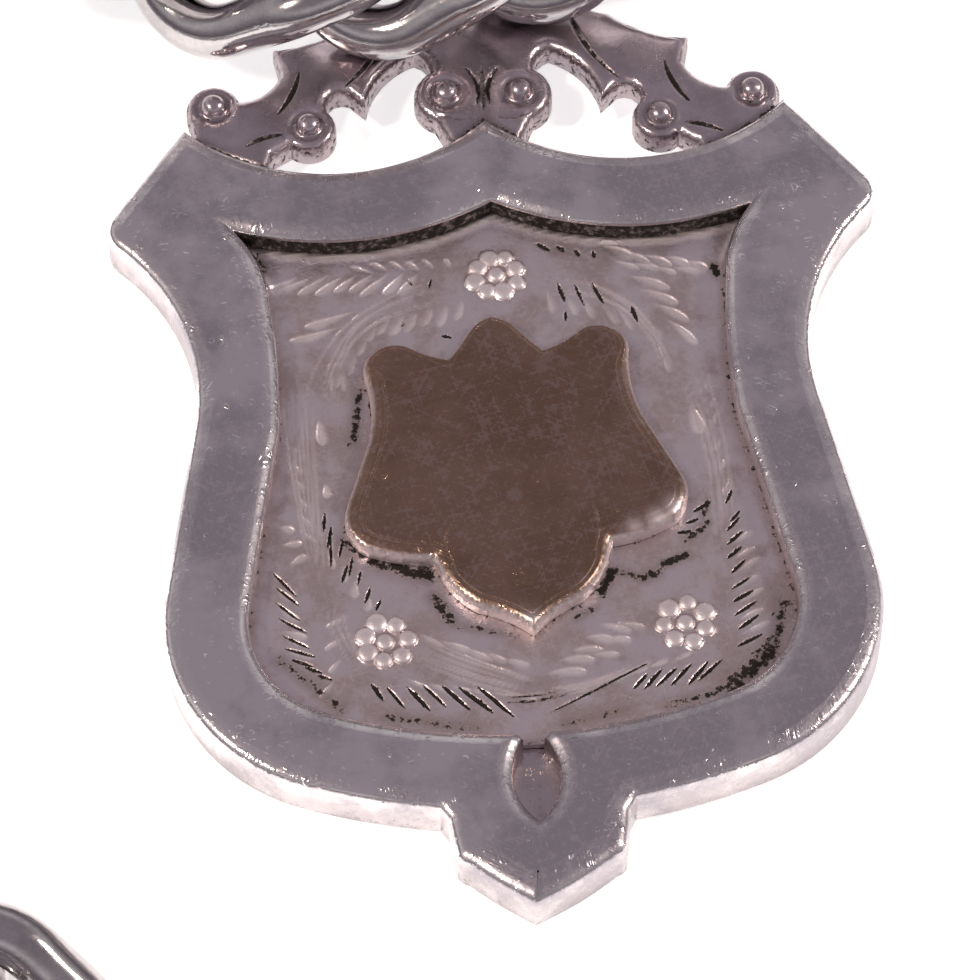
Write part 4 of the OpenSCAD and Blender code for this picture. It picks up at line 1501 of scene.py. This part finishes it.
# %% Bend one link
LINK_WIRE, LINK_HALF_WIDTH, LINK_PITCH = 2.16, 3.1, 5.95
SIDE_SLOPE, END_SLOPE = math.radians(32), math.radians(42)
BEND_REACH = LINK_HALF_WIDTH * math.cos(SIDE_SLOPE) / math.cos(END_SLOPE)
SIDE_RISE = LINK_HALF_WIDTH * (math.sin(END_SLOPE) - math.sin(SIDE_SLOPE)) / math.cos(END_SLOPE)
SIDE_LENGTH = 2 * SIDE_RISE / math.tan(SIDE_SLOPE)
LINK_REACH = SIDE_LENGTH / 2 + BEND_REACH
WIRE_DIP, REST_GAP = 1.23, 0.02
LINK_REST = WIRE_DIP + LINK_WIRE / 2 + REST_GAP


def link_points():
    """Six knots: the two ends, and the four places where a straight side meets a bend."""
    start, apex = Vector((SIDE_LENGTH / 2, LINK_HALF_WIDTH, -SIDE_RISE)), Vector((LINK_REACH, 0, 0))
    along = Vector((math.cos(SIDE_SLOPE), 0, -math.sin(SIDE_SLOPE)))
    chord = apex - start
    run = chord.dot(along)
    across = chord - run * along
    radius = chord.length_squared / 2 / across.length
    sweep = 2 * math.atan2(across.length, run)
    leave = along * math.cos(sweep) + across.normalized() * math.sin(sweep)
    reach, side = handle(radius, sweep), SIDE_LENGTH / math.cos(SIDE_SLOPE) / 3
    knots = []
    for half in (0, 180):
        spin, flip = turn(half, "Z"), turn(180, "X")
        knots.append((spin @ start, spin @ (along * side), spin @ (along * reach)))
        knots.append((spin @ apex, spin @ (leave * reach), spin @ (leave * reach)))
        away = -(flip @ along)
        knots.append((spin @ (flip @ start), spin @ (away * reach), spin @ (away * side)))
    return knots


link_bm = wire_mesh(link_points(), LINK_WIRE)
print("faces of a link:", len(link_bm.faces), "reach", round(LINK_REACH, 3))

# %% [markdown]
# ### Setting out the chain
# The chain starts at the link over the crest and runs off to both sides. A row of a table says
# how many links turn by how many degrees, and a second table lowers the first links from the
# crest to the surface. The slope of a link follows from its neighbours' heights. Dirt and painted
# shade lie on the inside of the bends, where the next link rubs.

# %% Set out the chain
MIDDLE_AT, MIDDLE_YAW = (-1.9, 23.15, 4.45), 9
RIGHT_TURNS = ((1, 14), (1, 12), (1, 2), (1, -12), (8, -15.5), (3, 3), (4, -21))
LEFT_TURNS = ((1, -18.5), (1, -28), (1, -4), (1, 12), (9, 18.2), (7, 1), (2, 6))
RIGHT_HEIGHTS = (4.35, 4, 3.55, 3.1, 2.7, 2.47, 2.36)
LEFT_HEIGHTS = (4.32, 4.1, 3.7, 3.25, 2.8, 2.5, 2.37)
BEND_SHADE_AND_DIRT, BEND_SHADE_FROM, BEND_SHADE_TO = 0.45, 0.3, 0.8
SEED_STEP = 1.7


def arm(turns, heights, way):
    """Places of the links of an arm: x, y, z and heading. way is 1 to the right, -1 to the left."""
    x, y, z = MIDDLE_AT
    yaw = MIDDLE_YAW
    places = [(x, y, z, yaw)]
    bends = [bend for count, bend in turns for _ in range(count)]
    for i, bend in enumerate(bends):
        level = max(heights[i], LINK_REST) if i < len(heights) else LINK_REST
        flat = way * math.sqrt(LINK_PITCH**2 - (level - z) ** 2)
        heading = math.radians(yaw + bend / 2)
        x, y = x + flat * math.cos(heading), y + flat * math.sin(heading)
        z, yaw = level, yaw + bend
        places.append((x, y, z, yaw))
    return places


def slope_at(n):
    before, after = PLACES[max(n - 1, 0)], PLACES[min(n + 1, len(PLACES) - 1)]
    return math.atan2(after[2] - before[2], math.hypot(after[0] - before[0], after[1] - before[1]))


left_arm, right_arm = arm(LEFT_TURNS, LEFT_HEIGHTS, -1), arm(RIGHT_TURNS, RIGHT_HEIGHTS, 1)
PLACES = left_arm[:0:-1] + right_arm
print("links:", len(PLACES), "ends at", [round(c, 2) for c in (*PLACES[0][:2], *PLACES[-1][:2])])

# %% [markdown]
# ### Forty-two links
# The link is bent once and copied, worn a little differently each time, and set in its place.
# Its dirt and painted shade are found before that, while its bends still lie along one axis.

# %% Place the links


def link_shade_and_grime(bm):
    """Dirt and painted shade of a link before it is placed: on the inside of its bends, where the next
    link rubs.
    """
    inner = [max(0.0, -v.normal.dot(Vector((v.co.x, 0, 0)).normalized())) for v in bm.verts]
    bend = [max(0.0, abs(v.co.x) / LINK_REACH) for v in bm.verts]
    pairs = zip(inner, bend)
    return [BEND_SHADE_AND_DIRT * i * smooth(b, BEND_SHADE_FROM, BEND_SHADE_TO) for i, b in pairs]


link_bm.normal_update()
# Painted shade with dirt on the inside of the bends, where the links interlock.
bend_shade_and_grime = link_shade_and_grime(link_bm)
for n, (x, y, z, yaw) in enumerate(PLACES):
    bm = link_bm.copy()
    wear(bm, amount=0.014, seed=SEED_STEP * n)
    place_by(bm, move(x, y, z) @ turn(yaw, "Z") @ turn(-math.degrees(slope_at(n)), "Y"))
    name = f"link_{n + 1:02d}"
    link = finish_piece("curb_" + name, bm, LINK_SILVER, [name], sharp=80)
    write_layer(link, "dirt_and_shade", bend_shade_and_grime)
link_bm.free()

# %% [markdown]
# ## The chain's ends
# One end carries a turned bar that is pushed through a buttonhole, and the other a snap loop on
# a barrel. Both lie outside the photograph, so they follow the usual make of such chains. Turned
# parts are spun from half a section, written as a table of distance along the axis and radius.
# Both ends are drawn as if the last link lay at the origin, and then moved to it.

# %% Turned parts
TURN_STEPS, POLE_CLOSE = 48, 1e-4


def turned_part(section):
    """A solid of revolution about the X axis from rows of (along, radius)."""
    bm = bmesh.new()
    verts = [bm.verts.new((along, radius, 0)) for along, radius in section]
    edges = [bm.edges.new(pair) for pair in zip(verts, verts[1:])]
    bmesh.ops.spin(
        bm, geom=verts + edges, cent=(0, 0, 0), axis=(1, 0, 0), angle=2 * math.pi,
        steps=TURN_STEPS, use_merge=True,
    )
    bmesh.ops.remove_doubles(bm, verts=bm.verts, dist=POLE_CLOSE)
    return bm


# %% [markdown]
# ### The bar
# The bar swells in the middle, where its loop is soldered on, and ends in two balls. Fine steps
# in the table are the grooves that a turner cuts beside the boss and before the balls. A ring
# joins its loop to the last link.

# %% The bar


def end_place(place, extra_turn):
    x, y, _, yaw = place
    return move(x, y, 0) @ turn(yaw + extra_turn, "Z")


AT_BAR, AT_CLIP = end_place(PLACES[-1], 0), end_place(PLACES[0], 180)
BAR_RING_R, BAR_RING_WIRE, BAR_RING_ROLL, BAR_RING_SEAM = 2.5, 0.9, 38, 1.0
BAR_RING_AT = (LINK_REACH + 0.75, 0.15, 2.5)
LOOP_R, LOOP_WIRE, LOOP_X, LOOP_REST = 2.0, 1.2, LINK_REACH + 3.86, 2.3
BAR_X, BAR_REST, BAR_LENGTH, BAR_D, BALL_D, BOSS_D = LOOP_X + LOOP_R + 0.85, 2.12, 32, 2.8, 4.2, 3.8
BALL_STEPS, BALL_NECK_R = 20, 1.3


def bar_section():
    """Half the bar's section from its middle outward: boss, grooved neck, taper, bead and ball."""
    half = BAR_LENGTH / 2
    rows = [(0, 1.72), (0.5, 1.75), (1.0, 1.8)]
    rows += [(1.35, BOSS_D / 2 - 0.03), (1.55, BOSS_D / 2), (1.75, BOSS_D / 2 - 0.03), (1.92, 1.78)]
    rows += [(2.0, 1.6), (2.02, 1.45), (2.12, 1.36), (2.3, 1.34), (2.45, 1.38), (2.6, BAR_D / 2)]
    rows += [(3 + step, BAR_D / 2 - 0.004 * step) for step in range(11)]
    rows += [(13.4, 1.33), (13.6, 1.4), (13.72, 1.5), (13.85, 1.53), (14.0, 1.48)]
    rows += [(14.08, 1.36), (14.18, 1.32)]
    start = math.asin(BALL_NECK_R / (BALL_D / 2))
    for i in range(BALL_STEPS + 1):
        angle = start + (math.pi - start) * i / BALL_STEPS
        rows.append((half - BALL_D / 2 * math.cos(angle), BALL_D / 2 * math.sin(angle)))
    return [(along, max(radius, 0)) for along, radius in rows]


half_rows = bar_section()
bm = turned_part([(-a, r) for a, r in half_rows[:0:-1]] + half_rows)
wear(bm, amount=0.01)
plain_piece("turned_bar", bm, "t_bar", AT_BAR @ move(BAR_X, 0, BAR_REST) @ turn(90, "Z"), sharp=50)

bm = wire_mesh(circle_points(LOOP_R), LOOP_WIRE, steps=20)
wear(bm, amount=0.008)
plain_piece("bar_loop", bm, "t_bar", AT_BAR @ move(LOOP_X, 0, LOOP_REST) @ turn(90, "X"))

bm = wound_ring(BAR_RING_R, BAR_RING_WIRE, BAR_RING_SEAM, steps=22)
stand = AT_BAR @ move(*BAR_RING_AT) @ turn(-BAR_RING_ROLL, "X")
plain_piece("bar_end_ring", bm, "bar_ring", stand)

# %% [markdown]
# ### The snap loop
# The watch hangs from a pear-shaped loop. Behind it sit a turned barrel, on which the real loop
# swivels, and a hoop that takes the chain. They are three meshes here and one solid in the CAD,
# because the clip isn't in the photograph and is kept as one plain piece.

# %% Snap loop
HOOP_R, HOOP_WIRE, CLIP_DIP = 1.75, 1.1, 3.1
STEM_R, COLLAR_R, STEM_LENGTH, BARREL_LENGTH, COLLAR_LENGTH = 0.75, 1.2, 1.4, 2.4, 1.4
SNAP_WIRE, SNAP_BASE_R, SNAP_END_R, SNAP_LENGTH = 2.0, 2.6, 4.3, 9.3
BARREL_X = HOOP_R + STEM_LENGTH
SNAP_X = BARREL_X + BARREL_LENGTH + COLLAR_LENGTH + SNAP_BASE_R
PEAR_STEPS = 4
AT_SNAP = AT_CLIP @ move(LINK_REACH, 0, LINK_REST) @ turn(CLIP_DIP, "Y")
BARREL_ROWS = [
    # along, radius
    (HOOP_R - 0.35, 0), (HOOP_R - 0.35, STEM_R), (BARREL_X - 0.3, STEM_R), (BARREL_X - 0.12, 0.85),
    (BARREL_X, 1.2), (BARREL_X + 0.08, 1.45), (BARREL_X + 0.25, 1.57), (BARREL_X + 0.45, 1.6),
    (BARREL_X + 0.62, 1.56), (BARREL_X + 0.7, 1.46), (BARREL_X + 0.8, 1.46), (BARREL_X + 0.88, 1.54),
    (BARREL_X + 1.2, 1.57), (BARREL_X + 1.52, 1.54), (BARREL_X + 1.6, 1.46), (BARREL_X + 1.7, 1.46),
    (BARREL_X + 1.78, 1.56), (BARREL_X + 1.95, 1.6), (BARREL_X + 2.15, 1.57), (BARREL_X + 2.32, 1.45),
    (BARREL_X + 2.4, 1.28), (BARREL_X + 2.5, COLLAR_R), (BARREL_X + 3.6, COLLAR_R - 0.02),
    (BARREL_X + 3.9, 1.05), (BARREL_X + 4.05, 0.8), (BARREL_X + 4.1, 0),
]


def pear_points():
    """Knots of the pear-shaped loop: a small bend at the origin and a large one along X."""
    flare = math.asin((SNAP_END_R - SNAP_BASE_R) / SNAP_LENGTH)
    knots = []
    for centre, radius, first, sweep in (
        (0, SNAP_BASE_R, math.pi / 2 + flare, math.pi - 2 * flare),
        (SNAP_LENGTH, SNAP_END_R, -math.pi / 2 - flare, math.pi + 2 * flare),
    ):
        reach, run = handle(radius, sweep / PEAR_STEPS), SNAP_LENGTH * math.cos(flare) / 3
        for i in range(PEAR_STEPS + 1):
            angle = first + sweep * i / PEAR_STEPS
            way = Vector((-math.sin(angle), math.cos(angle), 0))
            place = (centre + radius * math.cos(angle), radius * math.sin(angle), 0)
            before, after = run if i == 0 else reach, run if i == PEAR_STEPS else reach
            knots.append((place, way * before, way * after))
    return knots


bm = wire_mesh(pear_points(), SNAP_WIRE, steps=12)
wear(bm, amount=0.012)
plain_piece("snap_loop", bm, "swivel_clip", AT_SNAP @ move(SNAP_X, 0, 0))
plain_piece("clip_barrel", turned_part(BARREL_ROWS), "swivel_clip", AT_SNAP, sharp=50)

bm = wire_mesh(circle_points(HOOP_R), HOOP_WIRE, steps=16)
wear(bm, amount=0.006)
plain_piece("clip_hoop", bm, "swivel_clip", AT_SNAP @ turn(-math.degrees(END_SLOPE), "X"))

# %% [markdown]
# ## Camera
# The photograph looks down on the medal at 59 degrees through a long lens. The three axes of the
# camera and its place come from fitting the shield's corners, in metres from the shield's middle.

# %% Camera
RIGHT = Vector((0.99782, -0.06592, 0.0))
UP = Vector((0.05650, 0.85530, 0.51504))
BACK = Vector((-0.03395, -0.51392, 0.85717))
CAMERA_AT = Vector((-0.00781, -0.10472, 0.17700))
FOCAL_PIXELS, FRAME_PIXELS, SENSOR = 5586, 980, 36

camera = bpy.data.objects.new("camera", bpy.data.cameras.new("camera"))
scene.collection.objects.link(camera)
camera.matrix_world = Matrix.Translation(CAMERA_AT) @ Matrix((RIGHT, UP, BACK)).transposed().to_4x4()
camera.data.sensor_width = SENSOR
camera.data.lens = FOCAL_PIXELS / FRAME_PIXELS * SENSOR
camera.data.clip_start = 0.01
scene.camera = camera
print("lens", round(camera.data.lens, 1), "mm")

# %% [markdown]
# ## Floor
# Silver mirrors what it lies on, and the walls of the medal are white near their foot. So the
# floor is a sheet of white paper, and a little light of its own keeps it white everywhere.

# %% Floor
FLOOR_SIZE = 3.0
PAPER = {
    "Base Color": (0.93, 0.93, 0.93, 1), "Roughness": 0.9, "Specular IOR Level": 0.1,
    "Emission Color": (1, 1, 1, 1), "Emission Strength": 0.62,
}
bm = bmesh.new()
bmesh.ops.create_grid(bm, x_segments=1, y_segments=1, size=FLOOR_SIZE)
mesh = bpy.data.meshes.new("floor")
bm.to_mesh(mesh)
bm.free()
floor = bpy.data.objects.new("floor", mesh)
scene.collection.objects.link(floor)
paper = bpy.data.materials.new("white paper")
paper.use_nodes = True
for socket, value in PAPER.items():
    paper.node_tree.nodes["Principled BSDF"].inputs[socket].default_value = value
mesh.materials.append(paper)
print("floor:", 2 * FLOOR_SIZE, "m wide")

# %% [markdown]
# ## Sky
# Polished silver shows what stands round it. The flat faces mirror a dim mauve room overhead,
# the bevels a paler zone at mid height, and the wires need a dark band low down for their
# contrast. So the sky is a ramp over the height of the direction, from the horizon upward.

# %% Sky
ZENITH = (0.25, 0.216, 0.247, 1)
MIDDLE = (0.25, 0.218, 0.244, 1)
PALE_BAND = (0.5, 0.475, 0.48, 1)
HORIZON = (0.5, 0.47, 0.48, 1)
DARK_BAND = (0.12, 0.1, 0.112, 1)
world = bpy.data.worlds.new("soft room")
world.use_nodes = True
scene.world = world
tree = world.node_tree
direction = add_node(tree, "TexCoord")
split = add_node(tree, "SeparateXYZ")
tree.links.new(direction.outputs["Generated"], split.inputs["Vector"])
sky = add_node(tree, "ValToRGB")
stops = sky.color_ramp.elements
stops[0].position, stops[0].color = 0.0, HORIZON
stops[1].position, stops[1].color = 0.95, ZENITH
for position, colour in ((0.1, DARK_BAND), (0.28, MIDDLE), (0.48, PALE_BAND), (0.72, MIDDLE)):
    stops.new(position).color = colour
tree.links.new(split.outputs["Z"], sky.inputs["Fac"])
tree.links.new(sky.outputs["Color"], tree.nodes["Background"].inputs["Color"])
tree.nodes["Background"].inputs["Strength"].default_value = 1.0
print("stops of the sky:", len(stops))

# %% [markdown]
# ## Lamps
# The photograph has small warm glints on the bosses and on the links, from two small lamps.
# Each stands at one side and faces the medal. They are weak, since the sky and the floor light
# everything else.

# %% Lamps
PANELS = {
    # name: place, size, power, colour
    "key": ((-0.35, -0.10, 0.42), (0.07, 0.07), 1.3, (1, 0.88, 0.76)),
    "fill": ((0.42, 0.0, 0.35), (0.06, 0.06), 1.0, (1, 0.9, 0.8)),
}


def panel(name, place, size, power, colour):
    light = bpy.data.lights.new(name, "AREA")
    light.shape = "RECTANGLE"
    light.size, light.size_y = size
    light.energy, light.color = power, colour
    lamp = bpy.data.objects.new(name, light)
    lamp.location = place
    lamp.rotation_euler = (-Vector(place)).to_track_quat("-Z", "Y").to_euler()
    scene.collection.objects.link(lamp)


for name, row in PANELS.items():
    panel(name, *row)
scene.view_settings.view_transform = "Standard"
print("lamps:", list(PANELS))
